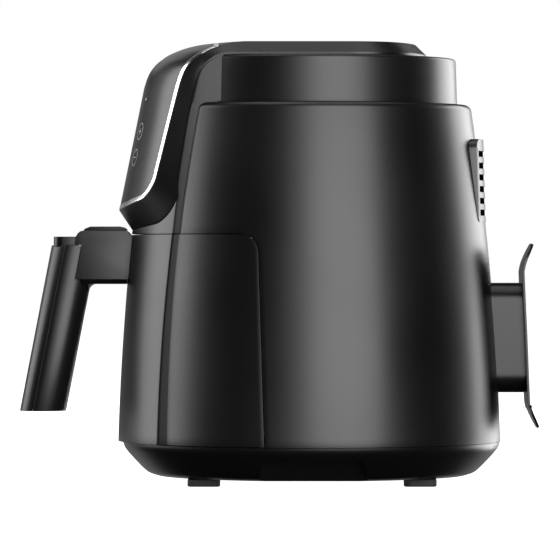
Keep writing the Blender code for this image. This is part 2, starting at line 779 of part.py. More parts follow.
def make_drawer():
    low, top = DRAWER_BOTTOM_Z, DRAWER_TOP_Z
    front = turned_solid("drawer_front", body_radius, low, top, look=SATIN_BLACK, parent=PAN)
    nose = turned_solid("drawer_nose", nose_radius, low, top)
    keep(nose, neck_wedge("drawer_nose_sides", low - 1 * MM, top + 1 * MM, 0.0, -FAR, 0.0))
    hollow = turned_solid("drawer_hollow", body_radius, low - 2 * MM, top - WALL, WALL)
    nose_hollow = turned_solid("drawer_nose_hollow", nose_radius, low - 2 * MM, top - WALL, WALL)
    keep(nose_hollow, neck_wedge("nose_hollow_sides", low - 3 * MM, top, WALL, -FAR, 0.0))
    join(hollow, nose_hollow)
    lip_outline = pan_outline(PAN_HALF + 4 * MM, PAN_CORNER)
    lip = plan_prism("drawer_lip_hole", lip_outline, top - 2 * WALL, top + WALL)
    channel = box(
        "handle_channel",
        (-CHANNEL_HALF_WIDTH, -FAR, CHANNEL_FLOOR_Z),
        (CHANNEL_HALF_WIDTH, -90 * MM, top + WALL))
    latch_slot = box("latch_slot", (-7 * MM, -FAR, 154.5 * MM), (7 * MM, -110 * MM, 166.0 * MM))
    join(front, nose)
    keep(front, drawer_block("drawer_limits", 0.0))
    cut(front, hollow, lip, channel, latch_slot)

    at_top = math.sqrt((body_radius(top) - WALL) ** 2 - BACKPLATE_Y ** 2) - 1.5 * MM
    at_low = math.sqrt((body_radius(low) - WALL) ** 2 - BACKPLATE_Y ** 2) - 1.5 * MM
    plate_top = top - DRAWER_CORNER - WALL
    outline = [(-at_low, low + 1 * MM), (at_low, low + 1 * MM), (at_top, plate_top), (-at_top, plate_top)]
    plate = front_prism("drawer_backplate", outline, BACKPLATE_Y, BACKPLATE_Y + 2 * MM, BASE_BLACK, PAN)
    window = rounded_box_outline(-99 * MM, 99 * MM, 39 * MM, 200 * MM, [0, 0, 3 * MM, 3 * MM], 2)
    cut(plate, front_prism("backplate_window", window, -50 * MM, -30 * MM))


def pan_outline(half, corner, steps=5):
    return rounded_box_outline(-half, half, -half, half, [corner] * 4, steps)


def make_pan():
    pan = plan_prism("pan_tub", pan_outline(PAN_HALF, PAN_CORNER), PAN_FLOOR_Z, PAN_RIM_Z, COATED, PAN)
    inside = plan_prism(
        "pan_hollow", pan_outline(PAN_HALF - SHEET, PAN_CORNER - SHEET),
        PAN_FLOOR_Z + SHEET, PAN_RIM_Z + WALL)
    cut(pan, inside)
    box("pan_catch", (-7 * MM, -125.5 * MM, 167.0 * MM), (7 * MM, -119 * MM, 171.0 * MM), STEEL, PAN)


def make_basket():
    basket = plan_prism(
        "basket_tub", pan_outline(BASKET_HALF, BASKET_CORNER), BASKET_FLOOR_Z, BASKET_RIM_Z, COATED, BASKET)
    rim = plan_prism(
        "basket_rim", pan_outline(PAN_HALF + 1 * MM, PAN_CORNER + 1 * MM),
        BASKET_RIM_Z - 1.4 * MM, BASKET_RIM_Z)
    inside = plan_prism(
        "basket_hollow",
        pan_outline(BASKET_HALF - SHEET, BASKET_CORNER - SHEET),
        BASKET_FLOOR_Z + SHEET,
        BASKET_RIM_Z + WALL)
    join(basket, rim)
    cut(basket, inside)
    for index in range(7):
        x = (index - 3) * 20 * MM
        half_length = 60 * MM if abs(index - 3) == 3 else 72 * MM
        for front, back in ((-half_length, -6 * MM), (6 * MM, half_length)):
            cut(basket, box(
                "floor_slot",
                (x - 3 * MM, front, BASKET_FLOOR_Z - 2 * MM),
                (x + 3 * MM, back, BASKET_FLOOR_Z + 4 * MM)))
    box("basket_tab", (-13 * MM, -132.2 * MM, 172.8 * MM), (13 * MM, -92 * MM, 175.6 * MM), STEEL, BASKET)


# ---------------------------------------------------------------- handle


def grip_front_y(z):
    return GRIP_FRONT_Y + HANDLE_LEAN * (z - GRIP_TOP_Z)


def grip_section(front, back, corner_front, corner_back):
    """Half of the grip's section, as (x, y), open side left sharp."""
    return rounded_box_outline(
        -HANDLE_HALF_WIDTH, HANDLE_HALF_WIDTH, front, back,
        [corner_back, corner_back, corner_front, corner_front], 4)


def lean(obj):
    """The upright shape is sheared so that it follows the leaning grip."""
    middle = obj.location.z
    shear = Matrix.Identity(4)
    shear[1][2] = HANDLE_LEAN
    obj.data.transform(Matrix.Translation((0.0, grip_front_y(middle), 0.0)) @ shear)
    return obj


def grip_shell(name, front, back, corner_front, corner_back, open_front):
    shell = lean(plan_prism(
        name, grip_section(front, back, corner_front, corner_back), GRIP_BOTTOM_Z + 3 * MM, GRIP_TOP_Z,
        HANDLE_GREY, BASKET))
    inner_front = front - 5 * MM if open_front else front + WALL
    inner_back = back - WALL if open_front else back + 5 * MM
    width = HANDLE_HALF_WIDTH - WALL
    corner_in = max(corner_front - WALL, 0.0)
    corner_out = max(corner_back - WALL, 0.0)
    outline = rounded_box_outline(
        -width, width, inner_front, inner_back, [corner_out, corner_out, corner_in, corner_in], 4)
    cut(shell, lean(plan_prism(name + "_hollow", outline, GRIP_BOTTOM_Z, GRIP_TOP_Z + 3 * MM)))
    return shell


def make_handle():
    bracket_outline = millimetres(BRACKET_OUTLINE)
    bracket = side_prism(
        "handle_bracket", bracket_outline, -HANDLE_HALF_WIDTH, HANDLE_HALF_WIDTH, HANDLE_GREY, BASKET)
    pocket = box(
        "bracket_pocket",
        (-POCKET_HALF_WIDTH, -163.0 * MM, 154.2 * MM),
        (POCKET_HALF_WIDTH, -120.0 * MM, 190.0 * MM))
    tab_slot = box("tab_slot", (-13.4 * MM, -140 * MM, 172.4 * MM), (13.4 * MM, -120 * MM, 176.0 * MM))
    nose_room = turned_solid("nose_room", nose_radius, 120 * MM, DRAWER_TOP_Z, -GAP)
    cut(bracket, pocket, tab_slot, nose_room)
    grown = [(y - GAP if y < -150 * MM else y + 5 * MM, z) for y, z in bracket_outline]
    bracket_room = side_prism("bracket_room", [
        (-132 * MM, 143.3 * MM - GAP), (-132 * MM, 190 * MM), (-168 * MM, 190 * MM), *grown[7:]], -FAR, FAR)
    grip_shell("grip_front", 0.0, GRIP_SEAM - GAP / 2, 7 * MM, 0.0, False)
    rear = grip_shell("grip_rear", GRIP_SEAM + GAP / 2, GRIP_DEPTH, 0.0, GRIP_CORNER, True)
    cut(rear, bracket_room)
    cap_outline = rounded_box_outline(
        -HANDLE_HALF_WIDTH + 2 * MM, HANDLE_HALF_WIDTH - 2 * MM, -186.6 * MM, -171.0 * MM,
        [0, 0, 6 * MM, 6 * MM], 4)
    plan_prism("grip_cap", cap_outline, GRIP_TOP_Z + GAP, 178.0 * MM, BASE_BLACK, BASKET)
    plug_outline = grip_section(0.0, GRIP_DEPTH, 7 * MM, GRIP_CORNER)
    lean(plan_prism("grip_foot", plug_outline, GRIP_BOTTOM_Z, GRIP_BOTTOM_Z + 2.7 * MM, BASE_BLACK, BASKET))
    for number, z in ((1, 128 * MM), (2, 78 * MM)):
        middle = grip_front_y(z) + 5 * MM
        cylinder(
            f"grip_screw_{number}", 2.5 * MM, (0.0, middle, z), (0.0, middle + 24 * MM, z),
            STEEL, BASKET, 10, "Y")


def make_release():
    button = plan_prism(
        "release_button",
        rounded_box_outline(-8 * MM, 8 * MM, -9 * MM, 9 * MM, [3 * MM] * 4, 3),
        176.6 * MM, 182.0 * MM, BASE_BLACK, RELEASE)
    button.location.y = BUTTON_Y
    box("release_stem", at(-3, -156, 163.3), at(3, -150, 176.3), STEEL, RELEASE)
    hook = box("latch_hook", at(-5, -158, 159.5), at(5, -120, 163.0), STEEL, RELEASE)
    cut(hook, box("hook_step", (-6 * MM, -127 * MM, 161.5 * MM), (6 * MM, -124 * MM, 165 * MM)))
    spring_low = (0.0, BUTTON_Y, 154.5 * MM)
    spring = turned(
        "release_spring",
        [(4.0 * MM, 4.7 * MM), (4.0 * MM, 0.0), (3.0 * MM, 0.0), (3.0 * MM, 4.7 * MM)],
        STEEL, BASKET, 12)
    spring.location = spring_low
    guard_outline = rounded_box_outline(-15 * MM, 15 * MM, -165 * MM, -133.8 * MM, [2 * MM] * 4, 2)
    guard = plan_prism("button_guard", guard_outline, 182.7 * MM, 185.3 * MM, BASE_BLACK, GUARD)
    bevel(guard, 0.9 * MM)


# ---------------------------------------------------------------- cooking chamber


def make_chamber():
    corners = [LINER_CORNER, LINER_CORNER, 0, 0]
    outline = rounded_box_outline(-LINER_HALF, LINER_HALF, LINER_FRONT_Y, LINER_HALF, corners)
    liner = plan_prism("chamber_liner", outline, LINER_FLOOR_Z, LINER_TOP_Z, STEEL)
    inner_half = LINER_HALF - SHEET
    inner_corner = LINER_CORNER - SHEET
    inner_outline = rounded_box_outline(
        -inner_half, inner_half, LINER_FRONT_Y - WALL, inner_half, [inner_corner, inner_corner, 0, 0])
    cut(liner, plan_prism("liner_hollow", inner_outline, LINER_FLOOR_Z + SHEET, LINER_TOP_Z + WALL))

    low, top = 31 * MM, LINER_TOP_Z - 1 * MM
    reach = 33 * MM
    half_low = math.sqrt((body_radius(low) - WALL) ** 2 - reach ** 2) - 1.5 * MM
    half_top = math.sqrt((body_radius(top) - WALL) ** 2 - reach ** 2) - 1.5 * MM
    outline = [(-half_low, low), (half_low, low), (half_top, top), (-half_top, top)]
    bulkhead = front_prism("front_bulkhead", outline, BULKHEAD_Y - 0.8 * MM, BULKHEAD_Y + 0.8 * MM, STEEL)
    opening = [(-102 * MM, 36 * MM), (102 * MM, 36 * MM), (102 * MM, 185 * MM), (-102 * MM, 185 * MM)]
    cut(
        bulkhead,
        front_prism("bulkhead_opening", opening, -40 * MM, -20 * MM),
        cylinder("plunger_hole", 2.6 * MM, at(111, -40, 140), at(111, -20, 140), sides=12, along="Y"))

    ceiling_top = CEILING_Z + 2 * MM
    turned("ceiling_plate", [
        (CEILING_RADIUS, ceiling_top), (CEILING_RADIUS, CEILING_Z),
        (CEILING_HOLE, CEILING_Z), (CEILING_HOLE, ceiling_top)], STEEL)
    guard = turned("element_guard", [
        (0.0, ceiling_top), (CEILING_HOLE - GAP, ceiling_top),
        (CEILING_HOLE - GAP, CEILING_Z), (0.0, CEILING_Z)], STEEL, steps=24)
    for index in range(8):
        slot = box("guard_slot", at(26, -7, 179), at(84, 7, 187))
        swing_about_axis(slot, math.tau * index / 8)
        cut(guard, slot)

    rails_low, rails_top = LINER_FLOOR_Z + SHEET + GAP, PAN_FLOOR_Z - GAP
    for side, x in (("left", -62 * MM), ("right", 62 * MM)):
        box(f"pan_rail_{side}", (x - 4 * MM, -28 * MM, rails_low), (x + 4 * MM, 88 * MM, rails_top), STEEL)


def make_heater():
    bottom = CEILING_Z + 2 * MM + GAP
    flange = 1.2 * MM
    dome = turned("heater_dome", [
        (SHAFT_RADIUS + 4 * MM, DOME_TOP_Z),
        (DOME_RADIUS - 6 * MM, DOME_TOP_Z),
        (DOME_RADIUS, DOME_TOP_Z - 6 * MM),
        (DOME_RADIUS + SHEET, bottom + flange), (DOME_RADIUS + 14 * MM, bottom + flange),
        (DOME_RADIUS + 14 * MM, bottom), (DOME_RADIUS, bottom),
        (DOME_RADIUS - SHEET, DOME_TOP_Z - 6 * MM - SHEET), (DOME_RADIUS - 6 * MM, DOME_TOP_Z - SHEET),
        (SHAFT_RADIUS + 4 * MM, DOME_TOP_Z - SHEET)], STEEL)
    cut(dome, box("dome_exhaust", (-24 * MM, 70 * MM, 196 * MM), (24 * MM, 110 * MM, 222 * MM)))

    curve = bpy.data.curves.new("heater_coil", "CURVE")
    curve.dimensions = "3D"
    curve.bevel_depth = 3.2 * MM
    curve.bevel_resolution = 2
    curve.use_fill_caps = True
    steps = int(COIL_TURNS * 20)
    points = []
    for step in range(steps + 1):
        share = step / steps
        angle = math.tau * COIL_TURNS * share
        radius = COIL_INNER + (COIL_OUTER - COIL_INNER) * share
        points.append((radius * math.cos(angle), radius * math.sin(angle), COIL_Z))
    points.append((COIL_OUTER, 3 * MM, COIL_Z + 4 * MM))
    points.append((COIL_OUTER, 3 * MM, DOME_TOP_Z - 12 * MM))
    spline = curve.splines.new("POLY")
    spline.points.add(len(points) - 1)
    for point, place in zip(spline.points, points):
        point.co = (*place, 1.0)
    add_object("heater_coil", curve_mesh(curve, "heater_coil"), ELEMENT)

    for number, angle in enumerate((90, 210, 330), 1):
        bracket = box(
            f"heater_bracket_{number}", at(26, -3, 196.6), at(86, 3, 198.2), STEEL)
        swing_about_axis(bracket, math.radians(angle))


def fan_outline(hub, tip, blades, sweep):
    """A flat fan: straight blades of even width set around a round hub."""
    points = []
    half = math.radians(9)
    for index in range(blades):
        middle = math.tau * index / blades
        points.append((hub * math.cos(middle - half * 2), hub * math.sin(middle - half * 2)))
        points.append((tip * math.cos(middle - half + sweep), tip * math.sin(middle - half + sweep)))
        points.append((tip * math.cos(middle + sweep), tip * math.sin(middle + sweep)))
        points.append((hub * math.cos(middle + half), hub * math.sin(middle + half)))
    return points


def make_motor():
    turned("motor", [
        (SHAFT_RADIUS + 1 * MM, 285 * MM), (MOTOR_RADIUS - 3 * MM, 285 * MM), (MOTOR_RADIUS, 282 * MM),
        (MOTOR_RADIUS, 239 * MM), (SHAFT_RADIUS + 1 * MM, 239 * MM)], COMPONENT, steps=24)
    turned("motor_bracket", [
        (70 * MM, 238.7 * MM), (70 * MM, 232.3 * MM), (66 * MM, 232.3 * MM), (66 * MM, 236.7 * MM),
        (SHAFT_RADIUS + 1 * MM, 236.7 * MM), (SHAFT_RADIUS + 1 * MM, 238.7 * MM)], STEEL, steps=24)
    cylinder("motor_shaft", SHAFT_RADIUS, (0.0, 0.0, 203 * MM), (0.0, 0.0, 303 * MM), STEEL, ROTOR, 16)
    bore = cylinder("fan_bore", SHAFT_RADIUS + GAP, (0.0, 0.0, 190 * MM), (0.0, 0.0, 320 * MM), sides=16)
    cut(plan_prism(
        "convection_fan", fan_outline(16 * MM, 62 * MM, 8, 0.25), 205 * MM, 219 * MM, STEEL, ROTOR), bore)
    cut(plan_prism(
        "cooling_fan", fan_outline(20 * MM, 64 * MM, 7, -0.3), 288.5 * MM, 299 * MM, COMPONENT, ROTOR), bore)


def make_electrics():
    box("power_board", (-50 * MM, -70 * MM, 14 * MM), (50 * MM, 10 * MM, 15.6 * MM), BOARD)
    box("power_transformer", (-20 * MM, -40 * MM, 15.9 * MM), (12 * MM, -10 * MM, 31 * MM), COMPONENT)
    face_top, face_tip = PROFILE[-2], PROFILE[-1]
    face_angle = math.atan((face_tip[0] - face_top[0]) / (face_top[1] - face_tip[1]))
    middle_z = 246 * MM
    front = -face_top[0] - (face_top[1] - middle_z) * math.tan(face_angle)
    for name, half_width, half_height, near, thickness, look in (
        ("display_module", 26 * MM, 16 * MM, 20 * MM, 5 * MM, COMPONENT),
        ("control_board", 52 * MM, 30 * MM, 26 * MM, 1.6 * MM, BOARD),
    ):
        board = box(name, (-half_width, 0.0, -half_height), (half_width, thickness, half_height), look)
        board.location = (0.0, front + near + thickness / 2, middle_z)
        board.rotation_euler.x = -face_angle
    cylinder("temperature_sensor", 2.5 * MM, at(68, 68, 175.5), at(68, 68, 180.7), STEEL, sides=12)
    box("thermal_cutout", (-84 * MM, 16 * MM, 233 * MM), (-72 * MM, 34 * MM, 241 * MM), COMPONENT)
    box("drawer_switch", (106 * MM, -26 * MM, 132 * MM), (115 * MM, -14 * MM, 148 * MM), COMPONENT)
    cylinder(
        "switch_plunger", 2.0 * MM, at(111, -41.6, 140), at(111, -28.4, 140), BASE_BLACK, PLUNGER, 12, "Y")


# ---------------------------------------------------------------- rear fittings


def make_vent():
    profile = millimetres([(124.7, 248.1), (126.5, 188.5), (121.8, 188.5), (114.8, 248.1)])
    vent = turned("rear_vent", profile, SATIN_BLACK)
    keep(vent, box("vent_limits", (-VENT_HALF_WIDTH, 90 * MM, 180 * MM), (VENT_HALF_WIDTH, FAR, 260 * MM)))
    for index in range(VENT_SLOT_COUNT):
        z = VENT_FIRST_SLOT_Z + index * VENT_SLOT_PITCH
        cut(vent, box(
            "vent_slot",
            (-VENT_SLOT_HALF_WIDTH, 90 * MM, z - VENT_SLOT_HEIGHT / 2),
            (VENT_SLOT_HALF_WIDTH, FAR, z + VENT_SLOT_HEIGHT / 2)))
    duct = box("exhaust_duct", (-30 * MM, 91 * MM, 192 * MM), (30 * MM, 111 * MM, 228 * MM), STEEL)
    cut(duct, box("duct_hollow", (-28.5 * MM, 80 * MM, 193.5 * MM), (28.5 * MM, 130 * MM, 226.5 * MM)))


def make_cord_wrap():
    line = millimetres(WRAP_PLATE_LINE)
    inner_line = [(y - WRAP_PLATE_THICKNESS, z) for y, z in reversed(line)]
    plate = side_prism(
        "cord_wrap_plate", line + inner_line, -WRAP_PLATE_HALF_WIDTH, WRAP_PLATE_HALF_WIDTH, BASE_BLACK)
    limits = rounded_box_outline(
        -WRAP_PLATE_HALF_WIDTH, WRAP_PLATE_HALF_WIDTH, line[-1][1], line[0][1], [15 * MM] * 4, 5)
    keep(plate, front_prism("plate_limits", limits, 140 * MM, 170 * MM))
    low, top = WRAP_POST_Z
    post_outline = rounded_box_outline(
        -WRAP_POST_HALF_WIDTH, WRAP_POST_HALF_WIDTH, low, top, [13 * MM] * 4, 5)
    post = front_prism("cord_wrap_post", post_outline, 100 * MM, FAR, BASE_BLACK)
    behind = [(y - WRAP_PLATE_THICKNESS - GAP, z) for y, z in line]
    cut(
        post,
        turned_solid("post_front", body_radius, 35 * MM, 180 * MM, -GAP),
        side_prism("post_back", [(FAR * 2, 180 * MM), *behind, (FAR * 2, 35 * MM)], -FAR, FAR))
    gland = cylinder(
        "cord_gland", 6 * MM, at(-48, 116, 42), at(-48, 131, 42), BASE_BLACK, sides=16, along="Y")
    hole = cylinder("cord_hole", 3.6 * MM, at(-48, 110, 42), at(-48, 140, 42), sides=12, along="Y")
    cut(gland, hole)
    shell_hole = cylinder("gland_hole", 6.3 * MM, at(-48, 110, 42), at(-48, 140, 42), sides=16, along="Y")
    cut(bpy.data.objects["outer_shell"], shell_hole)


make_base()
make_feet()
make_outer_shell()
make_top_tier()
make_neck()
make_top_cover()
make_trim()
make_panel()
make_drawer()
make_pan()
make_basket()
make_handle()
make_release()
make_chamber()
make_heater()
make_motor()
make_electrics()
make_vent()
make_cord_wrap()
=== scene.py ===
"""Looks of the drawer air fryer: fine surfaces, finishes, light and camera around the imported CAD."""

import bisect
import json
import math

import bmesh
import bpy
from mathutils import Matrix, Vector


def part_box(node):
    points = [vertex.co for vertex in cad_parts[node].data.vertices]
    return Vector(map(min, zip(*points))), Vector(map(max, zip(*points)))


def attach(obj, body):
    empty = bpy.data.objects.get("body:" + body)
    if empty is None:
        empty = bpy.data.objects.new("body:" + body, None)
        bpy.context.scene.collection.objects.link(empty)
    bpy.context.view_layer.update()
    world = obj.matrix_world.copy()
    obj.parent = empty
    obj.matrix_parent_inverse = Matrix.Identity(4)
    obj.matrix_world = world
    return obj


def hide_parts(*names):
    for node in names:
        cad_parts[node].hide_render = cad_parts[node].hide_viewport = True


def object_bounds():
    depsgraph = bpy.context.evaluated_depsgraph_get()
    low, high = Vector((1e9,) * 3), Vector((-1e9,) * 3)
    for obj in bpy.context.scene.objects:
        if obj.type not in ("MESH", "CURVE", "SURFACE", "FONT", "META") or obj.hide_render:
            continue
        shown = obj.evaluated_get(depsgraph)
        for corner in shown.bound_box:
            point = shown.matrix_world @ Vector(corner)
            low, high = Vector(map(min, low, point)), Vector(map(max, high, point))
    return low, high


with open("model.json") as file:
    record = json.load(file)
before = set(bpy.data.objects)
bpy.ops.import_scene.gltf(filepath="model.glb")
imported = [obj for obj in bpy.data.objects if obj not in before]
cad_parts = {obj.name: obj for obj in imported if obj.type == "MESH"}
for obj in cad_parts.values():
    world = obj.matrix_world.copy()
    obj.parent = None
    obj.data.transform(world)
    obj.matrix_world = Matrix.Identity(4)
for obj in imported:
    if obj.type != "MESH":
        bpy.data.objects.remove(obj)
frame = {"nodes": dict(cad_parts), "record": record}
CAD_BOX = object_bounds()

MM = 0.001
# The gap between fitted pieces, the seam round the drawer and the thickness of the outer walls.
GAP = 0.3 * MM
SEAM = 0.6 * MM
WALL = 2.5 * MM

# ---------------------------------------------------------------- driving sizes, from the frame

BASE_LOW, BASE_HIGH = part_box("base_tub")
SHELL_LOW, SHELL_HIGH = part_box("outer_shell")
TIER_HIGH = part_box("top_tier")[1]
COVER_LOW, COVER_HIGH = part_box("top_cover")
DRAWER_LOW, DRAWER_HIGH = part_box("drawer_front")
PAN_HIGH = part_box("pan_tub")[1]
BASKET_LOW, BASKET_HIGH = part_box("basket_tub")
VENT_LOW, VENT_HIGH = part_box("rear_vent")
WRAP_LOW, WRAP_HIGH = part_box("cord_wrap_plate")
POST_LOW, POST_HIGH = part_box("cord_wrap_post")
BRACKET_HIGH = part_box("handle_bracket")[1]
GRIP_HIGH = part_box("grip_front")[1]
CAP_LOW, CAP_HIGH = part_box("grip_cap")
GUARD_LOW, GUARD_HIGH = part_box("button_guard")

# Everything round turns about this upright line.
AXIS_Y = (BASE_LOW[1] + BASE_HIGH[1]) / 2

# The body's radius falls from its foot with the height, and with the height squared.
SEAM_Z = SHELL_LOW[2]
SHOULDER_Z = SHELL_HIGH[2]
BODY_FOOT_RADIUS = SHELL_HIGH[0]
BODY_TAPER = 0.03097
BODY_BARREL = 0.2386
SHOULDER_ROUND = 5.0 * MM
TIER_RADIUS = TIER_HIGH[0]
TIER_TOP_RADIUS = TIER_RADIUS - 1.1 * MM
TIER_TOP_Z = TIER_HIGH[2]

# The nose stands proud of the body between two upright sides, which lean in upwards by the draft,
# spread below a height, and bow inwards towards the front.
NOSE_PROUD = 3.2 * MM
NOSE_CORNER = 2.4 * MM
NOSE_FLATTEN = 0.046
NECK_HALF_WIDTH = 88.5 * MM
NECK_DRAFT = 0.0214
NECK_SPREAD = 0.020
NECK_SPREAD_Z = 200.0 * MM
NECK_BOW = 0.00196
NECK_BOW_START = -76.0  # in millimetres

# The head's middle line in millimetres, as (distance ahead of the axis, drop from the top), down to
# the start of the straight face, which runs on to its tip.
CROWN_Z = COVER_HIGH[2]
BROW_LINE = (
    (76.0, 0.0), (84.0, 0.8), (90.0, 2.1), (95.7, 3.9), (103.3, 7.1), (108.0, 10.2),
    (111.8, 13.1), (114.6, 16.1), (117.1, 19.6), (119.3, 24.3), (121.4, 30.9))
FACE_TIP = (139.3, 119.1)
BROW_ARC = 121.4 * MM
PANEL_HALF_WIDTH = 77.0 * MM
PANEL_LOW_Z = CROWN_Z - 119.6 * MM
PANEL_LOW_ARC = 290.0 * MM
PANEL_CORNER = 13.5 * MM
PANEL_REAR_Y = -66.0 * MM
CHIN_Z = COVER_LOW[2]
CHIN_ARC = 490.0 * MM
CHIN_CORNER = 20.0 * MM
CHIN_CORNER_START = 65.0 * MM

TRIM_WIDTH = 4.4 * MM
TRIM_RISE = 24.0 * MM
TRIM_SUNK = 0.15
# (inset, height) across the trim, in millimetres
TRIM_SECTION = (
    (0.35, -0.9), (0.35, 0.06), (0.6, 0.20), (1.2, 0.26), (2.1, 0.28),
    (3.0, 0.26), (3.6, 0.20), (3.85, 0.06), (3.85, -0.9))

TONGUE_REAR_ARC = 117.4 * MM
TONGUE_REAR_CENTRE_Y = -41.6 * MM
TONGUE_CORNER = 40.0 * MM
TONGUE_EDGE_Z = TIER_TOP_Z + 0.5 * MM
TONGUE_SIDE_BEVEL = 5.7 * MM
TONGUE_REAR_BEVEL = 7.9 * MM
TONGUE_LIP = 1.9 * MM
# Where the bevel around the head meets the side of the neck, as (y, z) in millimetres.
HEAD_SIDE_EDGE = (
    (-65.4, 305.9), (-70.6, 303.8), (-75.6, 300.3), (-79.2, 295.8), (-81.7, 289.6), (-85.2, 275.0),
    (-88.5, 260.6), (-91.9, 241.0), (-95.0, 222.0), (-96.0, 213.0), (-95.6, 207.4),
)

SHEET = 1.2 * MM
PAN_HALF = PAN_HIGH[0]
PAN_CORNER = 55.0 * MM
BASKET_HALF = 93.0 * MM
BASKET_CORNER = 51.0 * MM

PLATE_CORNER = 16.0 * MM
# The cord plate's front face from top to bottom as (y, z), in millimetres.
PLATE_LINE = (
    (160.7, 172.3), (158.4, 167.4), (155.6, 161.0), (153.7, 154.2), (153.6, 147.0), (155.5, 105.0),
    (157.3, 61.5), (158.1, 56.3), (160.0, 50.6), (162.5, 45.2), (164.9, 40.1))

VENT_SLOTS = 6
VENT_SLOT_LOW = 195.2 * MM
VENT_SLOT_PITCH = 8.45 * MM
VENT_SLOT_X = 35.5 * MM
VENT_GROOVE_X = 38.2 * MM

# The rounded edge under the body as (radius, z), and the hand recess as (y, z), in millimetres.
BASE_RIM = (
    (136.7, 29.7), (136.1, 27.2), (134.6, 24.4), (131.2, 20.2),
    (127.2, 15.9), (122.9, 11.5), (118.2, 7.6), (112.0, 5.5))
RECESS_OUTLINE = (
    (-38.3, 3.0), (39.6, 3.0), (36.2, 16.2), (35.4, 19.2),
    (34.0, 20.2), (-33.7, 20.2), (-35.1, 19.2), (-35.9, 16.2))
RECESS_X = 110.5 * MM
RECESS_LEAN = 0.5
RECESS_MIDDLE_Z = 12.0 * MM

GLAND_X = -48 * MM
GLAND_Z = 42 * MM
GLAND_RADIUS = 6.3  # in millimetres

DRAWER_TOP_Z = DRAWER_HIGH[2]
DRAWER_BOTTOM_Z = DRAWER_LOW[2]
DRAWER_SIDE_Y_LOW = -33.9 * MM
DRAWER_SIDE_LEAN = 0.0307
DRAWER_CORNER = 12.5 * MM


# ---------------------------------------------------------------- materials


class Look:
    """A Principled material whose patterns lie in the object's own coordinates."""

    def __init__(self, name):
        self.material = bpy.data.materials.new(name)
        self.material.use_nodes = True
        self.tree = self.material.node_tree
        self.tree.nodes.clear()
        self.shader = self.tree.nodes.new("ShaderNodeBsdfPrincipled")
        output = self.tree.nodes.new("ShaderNodeOutputMaterial")
        self.link(self.shader.outputs["BSDF"], output.inputs["Surface"])
        self.coordinates = self.node("ShaderNodeTexCoord", "Object", {}, {})

    def link(self, source, target):
        self.tree.links.new(source, target)

    def node(self, kind, output, sources, values):
        """Adds a node with linked sources and values by input name, and gives one of its outputs."""
        node = self.tree.nodes.new(kind)
        for name, value in values.items():
            node.inputs[name].default_value = value
        for name, source in sources.items():
            self.link(source, node.inputs[name])
        return node.outputs[output]

    def noise(self, scale, detail=3.0, coordinates=None):
        sources = {"Vector": coordinates or self.coordinates}
        return self.node("ShaderNodeTexNoise", "Fac", sources, {"Scale": scale, "Detail": detail})

    def colour(self, value, low, high):
        """Lets a 0-1 value drive the colour between two colours."""
        mix = self.tree.nodes.new("ShaderNodeMix")
        mix.data_type = "RGBA"
        mix.inputs["A"].default_value = (*low, 1.0)
        mix.inputs["B"].default_value = (*high, 1.0)
        self.link(value, mix.inputs["Factor"])
        self.link(mix.outputs["Result"], self.shader.inputs["Base Color"])

    def roughness(self, value, low, high):
        """Lets the middle half of a 0-1 value drive the roughness."""
        span = {"From Min": 0.25, "From Max": 0.75, "To Min": low, "To Max": high}
        result = self.node("ShaderNodeMapRange", "Result", {"Value": value}, span)
        self.link(result, self.shader.inputs["Roughness"])

    def bump(self, height, distance, strength):
        values = {"Distance": distance, "Strength": strength}
        normal = self.node("ShaderNodeBump", "Normal", {"Height": height}, values)
        self.link(normal, self.shader.inputs["Normal"])

    def set(self, name, value):
        self.shader.inputs[name].default_value = value


def moulded_plastic(name, colour, roughness, grain=900.0, depth=0.02 * MM, lighter=1.25, specular=0.5):
    """Plastic with a fine spark-eroded grain and slow changes in tone and gloss."""
    look = Look(name)
    slow = look.noise(9.0)
    look.colour(slow, colour, tuple(min(c * lighter, 1.0) for c in colour))
    look.roughness(slow, roughness - 0.04, roughness + 0.04)
    look.bump(look.noise(grain, 2.0), depth, 0.5)
    look.set("Specular IOR Level", specular)
    return look.material


def brushed_metal(name, colour, roughness):
    """Metal with long fine lines in its tone, gloss and surface."""
    look = Look(name)
    stretch = {"Scale": (40.0, 40.0, 1500.0)}
    stretched = look.node("ShaderNodeMapping", "Vector", {"Vector": look.coordinates}, stretch)
    lines = look.noise(1.0, 4.0, stretched)
    look.colour(lines, tuple(c * 0.8 for c in colour), colour)
    look.roughness(lines, roughness - 0.05, roughness + 0.08)
    look.bump(lines, 0.01 * MM, 0.3)
    look.set("Metallic", 1.0)
    return look.material


def glossy_panel(name):
    """Nearly black gloss plastic of the touch panel."""
    look = Look(name)
    slow = look.noise(14.0)
    look.colour(slow, (0.003, 0.003, 0.0035), (0.005, 0.005, 0.0055))
    look.roughness(slow, 0.26, 0.30)
    return look.material


def bright_trim(name):
    """Bright plated trim."""
    look = Look(name)
    slow = look.noise(60.0)
    look.colour(slow, (0.88, 0.88, 0.89), (0.95, 0.95, 0.95))
    look.roughness(slow, 0.16, 0.24)
    look.set("Metallic", 1.0)
    return look.material


def printed_mark(name, glow):
    """White print with a faint painted glow, and small lights that show through the panel."""
    look = Look(name)
    fine = look.noise(1200.0)
    look.colour(fine, (0.55, 0.56, 0.58), (0.75, 0.76, 0.78))
    look.roughness(fine, 0.35, 0.5)
    look.set("Emission Color", (0.85, 0.9, 1.0, 1.0))
    look.set("Emission Strength", glow)
    return look.material


def circuit_board(name):
    """Green board with cells of lighter green."""
    look = Look(name)
    cells = look.node("ShaderNodeTexVoronoi", "Distance", {"Vector": look.coordinates}, {"Scale": 260.0})
    look.colour(cells, (0.01, 0.09, 0.035), (0.05, 0.22, 0.09))
    look.roughness(cells, 0.35, 0.55)
    return look.material


